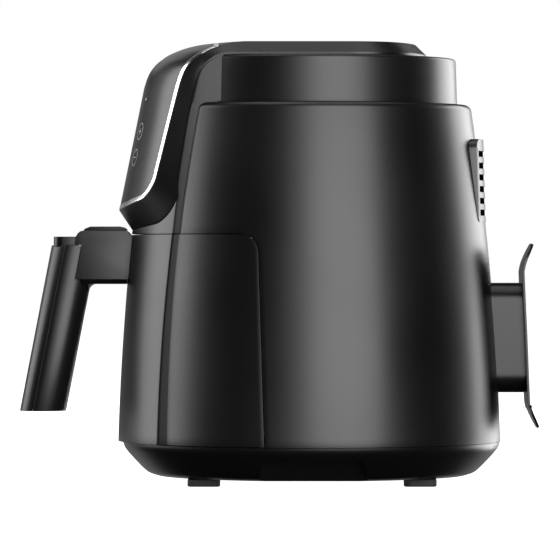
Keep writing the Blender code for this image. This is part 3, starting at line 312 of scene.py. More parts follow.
def floor_paint(name):
    """Pale paint that glows evenly, so that the floor needs no light of its own."""
    look = Look(name)
    look.colour(look.noise(2.0), (0.88, 0.88, 0.88), (0.92, 0.92, 0.92))
    look.set("Roughness", 0.9)
    look.set("Emission Color", (1.0, 1.0, 1.0, 1.0))
    look.set("Emission Strength", 1.15)
    return look.material


SATIN_BLACK = moulded_plastic("satin_black_plastic", (0.0014, 0.0014, 0.0015), 0.34)
BASE_BLACK = moulded_plastic("base_black_plastic", (0.002, 0.002, 0.0022), 0.30)
HANDLE_BLACK = moulded_plastic("handle_black_plastic", (0.004, 0.004, 0.0044), 0.32, specular=0.44)
CAP_BLACK = moulded_plastic("cap_black_plastic", (0.003, 0.003, 0.0033), 0.26, specular=0.3)
HEAD_BLACK = moulded_plastic("head_black_plastic", (0.0018, 0.0018, 0.0019), 0.34)
TIDY_BLACK = moulded_plastic("cord_tidy_plastic", (0.002, 0.002, 0.0022), 0.30, specular=0.38)
# Near black with no shine: painted shade, for the sheets set behind the vent slots and the grip's seam.
SHADE_BLACK = moulded_plastic("painted_shade_black", (0.001, 0.001, 0.0011), 0.6, specular=0.0)
GUARD_BLACK = moulded_plastic("guard_black_plastic", (0.003, 0.003, 0.0033), 0.30, specular=0.2)
RUBBER = moulded_plastic("foot_rubber", (0.010, 0.010, 0.010), 0.75, grain=400.0, depth=0.05 * MM)
COATING = moulded_plastic("nonstick_coating", (0.016, 0.016, 0.017), 0.38, grain=2200.0, lighter=1.8)
COMPONENT = moulded_plastic("component_grey", (0.16, 0.16, 0.17), 0.5)
PANEL = glossy_panel("glossy_panel")
CHROME = bright_trim("bright_trim_metal")
STEEL = brushed_metal("brushed_steel", (0.58, 0.58, 0.59), 0.30)
ELEMENT = brushed_metal("heater_sheath", (0.20, 0.17, 0.15), 0.45)
BOARD = circuit_board("circuit_board")
# The print is given a faint painted glow; the two panel lights are lamps.
PRINT_PAINTED_GLOW = printed_mark("panel_print_painted_glow", 0.15)
LIGHT_DOT = printed_mark("panel_light", 0.35)

SLOT_MATERIALS = {
    "satin_black": SATIN_BLACK, "base_black": BASE_BLACK, "gloss_black": PANEL, "chrome": CHROME,
    "handle_grey": HANDLE_BLACK, "coated_sheet": COATING, "steel": STEEL, "rubber": RUBBER,
    "board": BOARD, "component": COMPONENT, "element": ELEMENT,
}


def dress_cad_nodes():
    """Every CAD node gets the procedural material of its slot."""
    for entry in frame["record"]["subparts"]:
        obj = frame["nodes"][entry["node"]]
        obj.data.materials.clear()
        obj.data.materials.append(SLOT_MATERIALS[entry["material_slot"]])


# ---------------------------------------------------------------- shape tools


def place(name, mesh, look, body, slot, *nodes):
    """A finished piece on the body axis, riding on a body and standing for its CAD nodes."""
    mesh.name = name
    obj = bpy.data.objects.new(name, mesh)
    obj.location = (0.0, AXIS_Y, 0.0)
    bpy.context.scene.collection.objects.link(obj)
    if look is not None:
        mesh.materials.append(look)
    if body is not None:
        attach(obj, body)
    if nodes:
        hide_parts(*nodes)
    return obj


def tool(name, mesh):
    """A cutter, which finish removes once it is used."""
    return place(name, mesh, None, None, None)


def join_rows(bm, low, high, closed=False):
    """Faces between two rows of as many vertices."""
    count = len(low)
    for i in range(count if closed else count - 1):
        j = (i + 1) % count
        bm.faces.new((low[i], low[j], high[j], high[i]))


def add_verts(bm, points):
    return [bm.verts.new(point) for point in points]


def join_sheet(bm, rows):
    """Adds rows of points and the faces between them, and returns the rows of vertices."""
    verts = [add_verts(bm, row) for row in rows]
    for low, high in zip(verts, verts[1:]):
        join_rows(bm, low, high)
    return verts


def cap_and_join(bm, rings):
    """A closed solid through rings of as many vertices."""
    bm.faces.new(rings[0])
    bm.faces.new(rings[-1])
    for near, far in zip(rings, rings[1:]):
        join_rows(bm, near, far, closed=True)


def to_mesh(bm, outward=False):
    if outward:
        bmesh.ops.recalc_face_normals(bm, faces=bm.faces)
    mesh = bpy.data.meshes.new("shape")
    bm.to_mesh(mesh)
    bm.free()
    return mesh


def sheet_mesh(columns, closed=False):
    """An open sheet through columns of points, with its faces turned away from the body axis."""
    bm = bmesh.new()
    verts = [add_verts(bm, column) for column in columns]
    pairs = list(zip(verts, verts[1:]))
    if closed:
        pairs.append((verts[-1], verts[0]))
    for left, right in pairs:
        for i in range(len(left) - 1):
            corners = (left[i], left[i + 1], right[i + 1], right[i])
            if len({tuple(round(c, 8) for c in v.co) for v in corners}) > 2:
                bm.faces.new(corners)
    bmesh.ops.remove_doubles(bm, verts=bm.verts, dist=0.005 * MM)
    face_away(bm)
    return to_mesh(bm)


def face_away(bm):
    """Turns a sheet over if most of it faces the middle of the body."""
    middle = Vector((0.0, 0.0, 0.2))
    bm.normal_update()
    total = 0.0
    for face in bm.faces:
        total += face.normal.dot(face.calc_center_median() - middle) * face.calc_area()
    if total < 0:
        bmesh.ops.reverse_faces(bm, faces=bm.faces)


def thicken(obj, thickness):
    modifier = obj.modifiers.new("wall", "SOLIDIFY")
    modifier.thickness = thickness
    modifier.offset = -1.0
    modifier.use_even_offset = True


def round_edges(obj, width, segments=3, angle=45.0):
    modifier = obj.modifiers.new("round", "BEVEL")
    modifier.width = width
    modifier.segments = segments
    modifier.limit_method = "ANGLE"
    modifier.angle_limit = math.radians(angle)
    modifier.use_clamp_overlap = True


def block_tool(name, x, y, z):
    """A box cutter between pairs of places in millimetres."""
    low, high = zip(*millimetres((x, y, z)))
    return tool(name, box_mesh(low, high))


def turned_tool(name, radius, low, high, rows):
    """A cutter that is round about the body axis; its radius is a function of the height."""
    side = [(radius(z), z) for z in levels(high, low, rows)]
    return tool(name, turned_mesh([(0.0, high), *side, (0.0, low)]))


def boolean(obj, operation, cutter):
    modifier = obj.modifiers.new(operation.lower(), "BOOLEAN")
    modifier.operation = operation
    modifier.object = cutter
    modifier.solver = "EXACT"


def finish(obj, *tools, wall=0.0, bevel=None, smooth=35.0):
    """Gives a piece its wall, cuts it with tools and removes them, rounds its edges and shades it smooth."""
    if wall:
        thicken(obj, wall)
    for cutter in tools:
        boolean(obj, "DIFFERENCE", cutter)
    if bevel:
        round_edges(obj, *bevel)
    depsgraph = bpy.context.evaluated_depsgraph_get()
    mesh = bpy.data.meshes.new_from_object(obj.evaluated_get(depsgraph))
    obj.modifiers.clear()
    old = obj.data
    obj.data = mesh
    bpy.data.meshes.remove(old)
    for cutter in tools:
        bpy.data.objects.remove(cutter)
    mesh.shade_smooth()
    mesh.set_sharp_from_angle(angle=math.radians(smooth))


def lathe(radius, angle, z):
    """A point at an angle from the front, turning towards the right-hand side."""
    return radius * math.sin(angle), -radius * math.cos(angle), z


def turned_mesh(profile, steps=256):
    """A profile of (radius, z) from axis to axis, turned all the way round."""
    bm = bmesh.new()
    rings = []
    for r, z in profile:
        if r < 0.01 * MM:
            rings.append([bm.verts.new((0.0, 0.0, z))])
        else:
            rings.append([bm.verts.new(lathe(r, math.tau * i / steps, z)) for i in range(steps)])
    for a, b in zip(rings, rings[1:]):
        for i in range(steps):
            j = (i + 1) % steps
            corners = [a[i % len(a)], a[j % len(a)], b[j % len(b)], b[i % len(b)]]
            bm.faces.new(list(dict.fromkeys(corners)))
    return to_mesh(bm, outward=True)


def prism_mesh(outline, low, high, plane="plan"):
    """A flat outline carried from low to high, in one of three planes.

    plan is (x, y) up z, side is (y, z) across x, and front is (x, z) along y.
    """
    order = {
        "plan": lambda a, b, c: (a, b, c),
        "side": lambda a, b, c: (c, a, b),
        "front": lambda a, b, c: (a, c, b),
    }[plane]
    bm = bmesh.new()
    cap_and_join(bm, [[bm.verts.new(order(a, b, end)) for a, b in outline] for end in (low, high)])
    return to_mesh(bm, outward=True)


def box_mesh(low, high):
    outline = [(low[0], low[1]), (high[0], low[1]), (high[0], high[1]), (low[0], high[1])]
    return prism_mesh(outline, low[2], high[2])


def rounded_box(x0, x1, y0, y1, radii, steps=8):
    """A rectangle with rounded corners; radii run anticlockwise from (x1, y1)."""
    corners = ((x1, y1, -1, -1, 0), (x0, y1, 1, -1, 90), (x0, y0, 1, 1, 180), (x1, y0, -1, 1, 270))
    points = []
    for (x, y, inward_x, inward_y, start), radius in zip(corners, radii):
        if radius == 0:
            points.append((x, y))
            continue
        for step in range(steps + 1):
            angle = math.radians(start + 90 * step / steps)
            points.append((
                x + inward_x * radius + radius * math.cos(angle),
                y + inward_y * radius + radius * math.sin(angle),
            ))
    return points


def millimetres(points):
    return [(a * MM, b * MM) for a, b in points]


def levels(start, end, count):
    """Evenly spaced values with both ends."""
    return [start + (end - start) * i / (count - 1) for i in range(count)]


def along(line, share):
    """The point at a share of the length of a line of points."""
    lengths = [math.dist(a, b) for a, b in zip(line, line[1:])]
    left = share * sum(lengths)
    for (a, b), length in zip(zip(line, line[1:]), lengths):
        if left <= length:
            part = left / length
            return tuple(p + (q - p) * part for p, q in zip(a, b))
        left -= length
    return line[-1]


def smooth_line(points, per_span=8):
    """A Catmull-Rom curve through points of (a, b)."""
    ends = [points[0], *points, points[-1]]
    line = []
    for p0, p1, p2, p3 in zip(ends, ends[1:], ends[2:], ends[3:]):
        for step in range(per_span):
            t = step / per_span
            line.append(tuple(
                0.5 * (
                    2 * b + (c - a) * t + (2 * a - 5 * b + 4 * c - d) * t * t
                    + (3 * b - a - 3 * c + d) * t ** 3)
                for a, b, c, d in zip(p0, p1, p2, p3)))
    line.append(points[-1])
    return line


# ---------------------------------------------------------------- outer form


def body_radius(z):
    height = z - SEAM_Z
    return BODY_FOOT_RADIUS - BODY_TAPER * height - BODY_BARREL * height * height


def nose_radius(z):
    return body_radius(z) + NOSE_PROUD


def neck_half_width(z):
    spread = NECK_SPREAD * max(NECK_SPREAD_Z - z, 0.0)
    return NECK_HALF_WIDTH - NECK_DRAFT * (z - SEAM_Z) + spread


def bow(y):
    """How far the side of the neck has curved inwards towards the front."""
    return NECK_BOW * max(NECK_BOW_START - y / MM, 0.0) ** 2 * MM


def neck_side(y, z):
    return neck_half_width(z) - bow(y)


def side_meets(radius, z):
    """The half width at which the bowed side meets a circle about the axis."""
    wide = neck_half_width(z)
    for _ in range(3):
        wide = neck_side(-math.sqrt(radius ** 2 - wide ** 2), z)
    return wide


def drawer_side_y(z):
    """How far forward the drawer's side seam stands, with its rounded upper corner."""
    line = DRAWER_SIDE_Y_LOW - DRAWER_SIDE_LEAN * (z - 28.0 * MM)
    into_corner = z - (DRAWER_TOP_Z - DRAWER_CORNER)
    if into_corner <= 0:
        return line
    into_corner = min(into_corner, DRAWER_CORNER)
    return line - DRAWER_CORNER + math.sqrt(DRAWER_CORNER ** 2 - into_corner ** 2)


def corner_levels():
    """Heights that follow the drawer's rounded upper corner."""
    start = DRAWER_TOP_Z - DRAWER_CORNER
    return [start + DRAWER_CORNER * math.sin(math.radians(90 * i / 10)) for i in range(11)]


def make_base():
    """The bowl under the body, with a recess for the hand on each side."""
    outer = smooth_line(millimetres(BASE_RIM), 6)
    top = outer[0][1]
    deck, inner_radius = top - 6 * MM, 134.0 * MM
    inside = [(0.0, deck), (inner_radius - WALL, deck), (inner_radius, top)]
    profile = [*inside, *outer, (0.0, BASE_LOW[2])]
    base = place("base_bowl", turned_mesh(profile), BASE_BLACK, "housing", "base_black", "base_tub")
    recess = millimetres(RECESS_OUTLINE)
    tools = []
    for side in (-1, 1):
        edges = sorted((side * RECESS_X, side * 160 * MM))
        mesh = prism_mesh(recess, *edges, plane="side")
        for vert in mesh.vertices:
            if abs(vert.co.x) < 120 * MM:
                vert.co.x += side * RECESS_LEAN * (vert.co.z - RECESS_MIDDLE_Z)
        tools.append(tool("hand_recess", mesh))
    finish(base, *tools)


def make_feet():
    for side in ("left", "right"):
        for end in ("front", "rear"):
            node = f"foot_{end}_{side}"
            low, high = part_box(node)
            outline = rounded_box(low[0], high[0], low[1] - AXIS_Y, high[1] - AXIS_Y, [5 * MM] * 4)
            mesh = prism_mesh(outline, low[2], high[2])
            foot = place(f"rubber_{node}", mesh, RUBBER, "housing", "rubber", node)
            finish(foot, bevel=(0.7 * MM,))


def make_outer_shell():
    """The round body: all round below the shoulder, open at the front for the drawer and the neck."""
    seam_top = DRAWER_TOP_Z + SEAM
    heights = levels(SEAM_Z, DRAWER_TOP_Z - DRAWER_CORNER, 22)[:-1] + corner_levels()
    around, front = 150, 12
    lower = []
    for index, z in enumerate(heights):
        level = z + SEAM if index == len(heights) - 1 else z
        radius = body_radius(level)
        start = math.acos(-(drawer_side_y(z) + SEAM) / radius)
        lower.append([lathe(radius, angle, level) for angle in levels(start, math.tau - start, around + 1)])
    seam_start = math.acos(-(drawer_side_y(DRAWER_TOP_Z) + SEAM) / body_radius(seam_top))
    fixed = levels(seam_start, math.tau - seam_start, around + 1)

    def ring(radius, z):
        neck = math.asin((side_meets(radius, z) + GAP / 2) / radius)
        ahead = levels(neck, fixed[0], front + 1)[:-1]
        angles = ahead + fixed + [math.tau - a for a in reversed(ahead)]
        return [lathe(radius, angle, z) for angle in angles]

    upper = [ring(body_radius(z), z) for z in levels(seam_top, SHOULDER_Z - SHOULDER_ROUND, 18)]
    edge = body_radius(SHOULDER_Z - SHOULDER_ROUND)
    for step in range(1, 9):
        angle = math.radians(90 * step / 8)
        z = SHOULDER_Z - SHOULDER_ROUND + SHOULDER_ROUND * math.sin(angle)
        upper.append(ring(edge - SHOULDER_ROUND + SHOULDER_ROUND * math.cos(angle), z))
    upper.append(ring(TIER_RADIUS + GAP / 2, SHOULDER_Z))

    bm = bmesh.new()
    join_sheet(bm, lower)
    join_sheet(bm, upper)
    bmesh.ops.remove_doubles(bm, verts=bm.verts, dist=0.01 * MM)
    face_away(bm)
    shell = place("round_body", to_mesh(bm), SATIN_BLACK, "housing", "satin_black", "outer_shell")
    window_x, inside_y, outside_y = 34 * MM, 90 * MM, 170 * MM
    low = (-window_x, inside_y, VENT_LOW[2] + 2 * MM)
    high = (window_x, outside_y, VENT_HIGH[2] - 2 * MM)
    window = tool("vent_window", box_mesh(low, high))
    gland_outline = [(GLAND_X + x * MM, GLAND_Z + z * MM) for x, z in circle(GLAND_RADIUS, 32)]
    gland = tool("gland_hole", prism_mesh(gland_outline, inside_y, outside_y, "front"))
    finish(shell, window, gland, wall=WALL, bevel=(0.35 * MM, 2, 60.0))


def make_top_tier():
    """The smaller ring on top of the round body, open at the front for the head."""
    round_edge = 2.2 * MM
    middle_radius, middle_z = TIER_TOP_RADIUS - round_edge, TIER_TOP_Z - round_edge
    inner_rim, halfway = 70 * MM, 95 * MM
    profile = [(inner_rim, TIER_TOP_Z), (halfway, TIER_TOP_Z)]
    for angle in levels(0.0, math.pi / 2, 7):
        out, up = round_edge * math.sin(angle), round_edge * math.cos(angle)
        profile.append((middle_radius + out, middle_z + up))
    radii = levels(TIER_TOP_RADIUS, TIER_RADIUS, 7)
    profile += list(zip(radii, levels(middle_z, SHOULDER_Z - WALL, 7)))[1:]
    columns = []
    start = math.asin(min((neck_half_width(TIER_TOP_Z) + GAP) / TIER_TOP_RADIUS, 0.999))
    for angle in levels(start, math.tau - start, 160):
        columns.append([lathe(r, angle, z) for r, z in profile])
    tier = place("tier_ring", sheet_mesh(columns), SATIN_BLACK, "housing", "satin_black", "top_tier")
    finish(tier, wall=WALL)


def chin_z(x):
    """The lower outline of the head's bevel, on the front of the nose."""
    beyond = max(abs(x) - CHIN_CORNER_START, 0.0)
    drop = CHIN_CORNER - math.sqrt(max(CHIN_CORNER ** 2 - beyond ** 2, 0.0))
    return CHIN_Z + x * x / (2 * CHIN_ARC) + drop


def head_corner_x():
    """Half the width of the head at its lower corners."""
    level = CHIN_Z + 20 * MM
    return side_meets(nose_radius(level), level)


def make_neck():
    """The flat sides behind the head, joined by the strip of nose under its chin."""
    bottom = DRAWER_TOP_Z + SEAM
    corner_x = head_corner_x()
    corner_top = chin_z(corner_x) - GAP
    strip_rows, side_columns = 10, 14
    rear_above_shoulder, rear_below_shoulder = -60.0 * MM, -76.0 * MM
    strip = []
    for share in levels(-1.0, 1.0, 97):
        column = []
        for part in levels(0.0, 1.0, strip_rows):
            z = bottom + (chin_z(corner_x * share) - GAP - bottom) * part
            wide = side_meets(nose_radius(z), z) * share
            column.append((wide, -math.sqrt(nose_radius(z) ** 2 - wide * wide), z))
        strip.append(column)
    bm = bmesh.new()
    verts = join_sheet(bm, strip)
    head_line = [(y + GAP, z) for y, z in smooth_line(millimetres(HEAD_SIDE_EDGE), 4)]
    head_line.reverse()
    line = [point for point in head_line if point[1] > corner_top + 0.5 * MM]
    line.append((-64.0 * MM, TIER_TOP_Z))
    for side, column in ((-1, verts[0]), (1, verts[-1])):
        rows = [[vert] for vert in column]
        rows += [[bm.verts.new((side * neck_side(y, z), y, z))] for y, z in line]
        for row in rows:
            start = row[0].co
            above = start.z > SHOULDER_Z - 1 * MM
            rear = rear_above_shoulder if above else rear_below_shoulder
            # A row that starts near that place or behind it still runs back a little.
            if start.y > rear - 0.5 * MM:
                rear = start.y + 3 * MM
            for part in levels(0.0, 1.0, side_columns)[1:]:
                y = start.y + (rear - start.y) * part
                row.append(bm.verts.new((side * neck_side(y, start.z), y, start.z)))
        for low, high in zip(rows, rows[1:]):
            join_rows(bm, low, high)
    bmesh.ops.recalc_face_normals(bm, faces=bm.faces)
    face_away(bm)
    neck = place("neck_sides", to_mesh(bm), SATIN_BLACK, "housing", "satin_black", "neck_cover")
    finish(neck, wall=2.0 * MM, bevel=(0.5 * MM, 2, 40.0))


# ---------------------------------------------------------------- head and panel


def head_profile():
    """The head's middle line as (distance ahead, z): flat top, brow and straight face."""
    line = [(0.0, 0.0), (40.0, 0.0), *smooth_line(BROW_LINE, 5), FACE_TIP]
    return [(ahead * MM, CROWN_Z - drop * MM) for ahead, drop in line]


PROFILE = head_profile()
LENGTHS = [0.0]
for start_point, end_point in zip(PROFILE, PROFILE[1:]):
    LENGTHS.append(LENGTHS[-1] + math.dist(start_point, end_point))


def profile_at(length, out=0.0):
    """The middle line's (distance ahead, z) at a length along it, moved outwards."""
    index = min(max(bisect.bisect_right(LENGTHS, length) - 1, 0), len(PROFILE) - 2)
    (r0, z0), (r1, z1) = PROFILE[index], PROFILE[index + 1]
    span = LENGTHS[index + 1] - LENGTHS[index]
    part = (length - LENGTHS[index]) / span
    return r0 + (r1 - r0) * part + out * (z0 - z1) / span, z0 + (z1 - z0) * part + out * (r1 - r0) / span


def length_at(ahead):
    """The length along the middle line at a distance ahead of the axis."""
    for index in range(len(PROFILE) - 1):
        r0, r1 = PROFILE[index][0], PROFILE[index + 1][0]
        if r0 <= ahead <= r1:
            return LENGTHS[index] + (LENGTHS[index + 1] - LENGTHS[index]) * (ahead - r0) / (r1 - r0)
    return LENGTHS[-1]


def length_at_height(z):
    face_top, face_tip = PROFILE[-2][1], PROFILE[-1][1]
    return LENGTHS[-2] + (LENGTHS[-1] - LENGTHS[-2]) * max((face_top - z) / (face_top - face_tip), 0.0)


def panel_low_z(x, inset):
    """The panel's lower edge: a flat arc with a round corner at each end."""
    width = PANEL_HALF_WIDTH - inset
    corner = PANEL_CORNER - inset / 2
    beyond = max(abs(x) - (width - corner), 0.0)
    drop = corner - math.sqrt(max(corner * corner - beyond * beyond, 0.0))
    return PANEL_LOW_Z + inset + x * x / (2 * PANEL_LOW_ARC) + drop


def panel_columns(inset, count):
    """Places across the panel, closer together towards its sides."""
    width = PANEL_HALF_WIDTH - inset
    return [width * math.sin(math.radians(-90 + 180 * i / (count - 1))) for i in range(count)]


def contour_y(x, ahead):
    """Level lines are circles about the axis on the face; above it the last one slides straight back."""
    arc = max(ahead, BROW_ARC)
    return arc - ahead - math.sqrt(arc * arc - x * x)


def distance_ahead(x, y):
    """Where the level line through a point of the brow or the top meets the middle line."""
    return max(BROW_ARC - y - math.sqrt(BROW_ARC ** 2 - x * x), 0.0)


def tongue_rear(x):
    """The round rear outline of the tongue's top: its y and its outward direction at x."""
    corner_x = PANEL_HALF_WIDTH - TONGUE_CORNER
    reach = TONGUE_REAR_ARC - TONGUE_CORNER
    if abs(x) < TONGUE_REAR_ARC * corner_x / reach:
        centre, radius = (0.0, TONGUE_REAR_CENTRE_Y), TONGUE_REAR_ARC
    else:
        corner_y = TONGUE_REAR_CENTRE_Y + math.sqrt(reach ** 2 - corner_x ** 2)
        centre, radius = (math.copysign(corner_x, x), corner_y), TONGUE_CORNER
    aside = x - centre[0]
    behind = math.sqrt(max(radius ** 2 - aside ** 2, 0.0))
    return centre[1] + behind, (aside / radius, behind / radius)


def panel_point(x, length, out):
    ahead, z = profile_at(length, out)
    return x, contour_y(x, ahead), z


def face_column(x, inset, out, rows):
    """Points down the panel; what stands out of it sinks into the flat top at the rear."""
    start = length_at(distance_ahead(x, PANEL_REAR_Y - inset))
    end = length_at_height(panel_low_z(x, inset))
    column = []
    for length in levels(start, end, rows):
        rise = TRIM_SUNK + (1.0 - TRIM_SUNK) * min((length - start) / TRIM_RISE, 1.0)
        column.append(panel_point(x, length, out * rise))
    return column


def crown_column(x, rows):
    points = []
    for y in levels(tongue_rear(x)[0], PANEL_REAR_Y, rows):
        points.append((x, y, profile_at(length_at(distance_ahead(x, y)))[1]))
    return points


def panel_loop(inset, out, columns=65, rows=60):
    """The closed outline of the panel at an inset, in order."""
    sheet = [face_column(x, inset, out, rows) for x in panel_columns(inset, columns)]
    rear = [column[0] for column in sheet]
    right = sheet[-1][1:-1]
    low = [column[-1] for column in reversed(sheet)]
    left = list(reversed(sheet[0][1:-1]))
    return rear + right + low + left


def make_trim():
    """A bright strip with a softly crowned face, standing a little proud of the panel."""
    loops = [panel_loop(inset * MM, out * MM) for inset, out in TRIM_SECTION]
    columns = [list(points) for points in zip(*loops)]
    trim = place("panel_trim", sheet_mesh(columns, closed=True), CHROME, "housing", "chrome", "chrome_trim")
    finish(trim, smooth=50.0)


def make_lens():
    """The glossy touch panel inside the trim."""
    inset = TRIM_WIDTH - 0.4 * MM
    columns = [face_column(x, inset, 0.0, 96) for x in panel_columns(inset, 81)]
    lens = place("touch_panel", sheet_mesh(columns), PANEL, "housing", "gloss_black", "panel_lens")
    finish(lens, wall=1.6 * MM)


def head_edge_point(point, kind, share):
    """Where the bevel around the head ends, outside one point of the panel's outline."""
    x, y, _ = point
    if kind == "rear":
        out_x, out_y = tongue_rear(x)[1]
        reach = TONGUE_SIDE_BEVEL + (TONGUE_REAR_BEVEL - TONGUE_SIDE_BEVEL) * out_y
        return x + out_x * reach, y + out_y * reach, TONGUE_EDGE_Z
    if kind == "low":
        wide = x * head_corner_x() / PANEL_HALF_WIDTH
        low = chin_z(wide)
        return wide, -math.sqrt(nose_radius(low) ** 2 - wide * wide), low
    side = math.copysign(1.0, x)
    if share is None:
        return side * (PANEL_HALF_WIDTH + TONGUE_SIDE_BEVEL), y, TONGUE_EDGE_Z
    edge_y, edge_z = along(SIDE_LINE, share)
    return side * neck_side(edge_y, edge_z), edge_y, edge_z


SIDE_LINE = smooth_line(millimetres(HEAD_SIDE_EDGE), 6)


def head_loops(columns=65, crown_rows=24, face_rows=70):
    """Matching points round the panel's outline, the foot of the bevel and the edge of the lip under it."""
    xs = panel_columns(0.0, columns)
    crown = [crown_column(x, crown_rows) for x in xs]
    face = [face_column(x, 0.0, 0.0, face_rows) for x in xs]
    loop = [(column[0], "rear", None) for column in crown]
    loop += [(point, "side", None) for point in crown[-1][1:-1]]
    shares = levels(0.0, 1.0, face_rows)
    loop += [(face[-1][i], "side", shares[i]) for i in range(face_rows - 1)]
    loop += [(column[-1], "low", None) for column in reversed(face)]
    loop += [(face[0][i], "side", shares[i]) for i in range(face_rows - 2, -1, -1)]
    loop += [(point, "side", None) for point in reversed(crown[0][1:-1])]
    rings = []
    for point, kind, share in loop:
        inner, outer = Vector(point), Vector(head_edge_point(point, kind, share))
        # The lip dies out over the first sixth of each side.
        lip = 0.0 if kind == "low" else TONGUE_LIP * max(1.0 - (share or 0.0) * 6, 0.0)
        rings.append((inner, outer + Vector((0.0, 0.0, lip)), outer))
    return crown, rings


def make_head():
    """The tongue's flat top and the broad bevel that runs round it and down both sides of the panel."""
    crown, loop = head_loops()
    bm = bmesh.new()
    join_sheet(bm, crown)
    shares = (0.0, 0.03, 0.07, 0.15, 0.3, 0.5, 0.7, 0.85, 0.94, 1.0)
    rings = []
    for inner, foot, outer in loop:
        ring = [bm.verts.new(inner.lerp(foot, share)) for share in shares]
        ring += [bm.verts.new(foot.lerp(outer, 0.5)), bm.verts.new(outer)]
        rings.append(ring)
    for near, far in zip(rings, rings[1:] + rings[:1]):
        for k in range(len(near) - 1):
            corners = (near[k], far[k], far[k + 1], near[k + 1])
            if (corners[0].co - corners[3].co).length + (corners[1].co - corners[2].co).length > 0.001 * MM:
                bm.faces.new(corners)
    bmesh.ops.remove_doubles(bm, verts=bm.verts, dist=0.01 * MM)
    bmesh.ops.recalc_face_normals(bm, faces=bm.faces)
    face_away(bm)
    head = place("head_and_tongue", to_mesh(bm), HEAD_BLACK, "housing", "satin_black", "top_cover")
    finish(head, wall=1.8 * MM, bevel=(0.4 * MM, 2, 28.0))


def subdivided(points, step, closed):
    """The same line with extra points, so that it can follow a curved surface."""
    ends = points[1:] + points[:1] if closed else points[1:]
    line = []
    for start, end in zip(points, ends):
        count = max(int(math.dist(start, end) / step), 1)
        line += [tuple(a + (b - a) * i / count for a, b in zip(start, end)) for i in range(count)]
    return line if closed else line + [points[-1]]


def panel_mark(name, x, z, strokes, look):
    """Strokes of (a, b) points in millimetres about a place on the panel, each drawn with a width."""
    centre = length_at_height(z)
    bm = bmesh.new()
    for points, width, closed in strokes:
        points = subdivided(points, 1.5, closed)
        half = width / 2
        count = len(points)
        inner, outer = [], []
        for i in range(count):
            before = points[i - 1] if closed or i > 0 else points[i]
            after = points[(i + 1) % count] if closed or i < count - 1 else points[i]
            direction = Vector((after[0] - before[0], after[1] - before[1])).normalized()
            normal = Vector((-direction.y, direction.x)) * half
            here = Vector(points[i])
            for side, store in ((-1, inner), (1, outer)):
                a, b = here + normal * side
                store.append(bm.verts.new(panel_point(x + a * MM, centre - b * MM, 0.06 * MM)))
        join_rows(bm, inner, outer, closed)
    face_away(bm)
    finish(place(name, to_mesh(bm), look, "housing", "gloss_black"))


def circle(radius, steps=40, start=0.0, end=360.0):
    """Points round a circle, or along an arc of it with both ends."""
    angles = [math.radians(angle) for angle in levels(start, end, steps + 1)]
    if end - start >= 360.0:
        angles.pop()
    return [(radius * math.cos(angle), radius * math.sin(angle)) for angle in angles]


def make_marks():
    """Plain symbols of touch keys, a display window and two lights; a stroke is points, width, closed."""
    ring = (circle(6.0), 0.35, True)
    dot = (circle(0.5, 12), 1.0, True)
    power = [ring, (circle(2.2, 20, 120, 420), 0.45, False), ([(0.0, 0.8), (0.0, 3.0)], 0.45, False)]
    hands = [([(0.0, 0.0), (0.0, 1.7)], 0.4, False), ([(0.0, 0.0), (1.2, -0.6)], 0.4, False)]
    timer = [ring, (circle(2.6, 24), 0.4, True), *hands]
    minus = [ring, ([(-2.2, 0.0), (2.2, 0.0)], 0.5, False)]
    plus = [*minus, ([(0.0, -2.2), (0.0, 2.2)], 0.5, False)]
    window = [(rounded_box(-14.0, 14.0, -7.5, 7.5, [2.0] * 4, 5), 0.3, True)]
    half, upper, lower, lights = 34 * MM, 253.6 * MM, 234.8 * MM, 276.8 * MM
    for name, x, z, strokes, look in (
        ("mark_power", -half, upper, power, PRINT_PAINTED_GLOW),
        ("mark_timer", -half, lower, timer, PRINT_PAINTED_GLOW),
        ("mark_plus", half, upper, plus, PRINT_PAINTED_GLOW),
        ("mark_minus", half, lower, minus, PRINT_PAINTED_GLOW),
        ("light_left", -half + 3 * MM, lights, [dot], LIGHT_DOT),
        ("light_right", half - 3 * MM, lights, [dot], LIGHT_DOT),
        ("display_window", 0.0, 252.0 * MM, window, PRINT_PAINTED_GLOW),
    ):
        panel_mark(name, x, z, strokes, look)


# ---------------------------------------------------------------- drawer front


def nose_arc(z):
    """The radius of the drawer's nose in plan, which grows flatter towards the foot."""
    return nose_radius(z) + NOSE_FLATTEN * (DRAWER_TOP_Z - z)


def nose_point(angle, z):
    arc = nose_arc(z)
    x, y, _ = lathe(arc, angle, z)
    return x, y + arc - nose_radius(z), z


def nose_tip(z):
    """The angle at which the drawer's nose meets the bowed side."""
    arc = nose_arc(z)
    tip = math.asin(side_meets(nose_radius(z), z) / arc)
    for _ in range(4):
        tip = math.asin(neck_side(nose_point(tip, z)[1], z) / arc)
    return tip


def drawer_section(z):
    """Half of the drawer front's outline at one height, from the side seam to the middle of the nose."""
    radius = body_radius(z)
    end = math.acos(-drawer_side_y(z) / radius)
    flat = math.asin(side_meets(radius, z) / radius)
    tip = nose_tip(z)
    points = [lathe(radius, angle, z) for angle in levels(end, flat, 25)]
    reach = NOSE_CORNER * math.tan((math.pi / 2 - tip) / 2)
    back_y, front_y = -radius * math.cos(flat), nose_point(tip, z)[1] + reach
    points += [(neck_side(y, z), y, z) for y in levels(back_y, front_y, 6)[1:]]
    past_corner = tip - reach / nose_arc(z)
    before = Vector(points[-1])
    corner, after = Vector(nose_point(tip, z)), Vector(nose_point(past_corner, z))
    for share in levels(0.0, 1.0, 8)[1:]:
        points.append(tuple(before.lerp(corner, share).lerp(corner.lerp(after, share), share)))
    points += [nose_point(angle, z) for angle in levels(past_corner, 0.0, 33)[1:]]
    return points


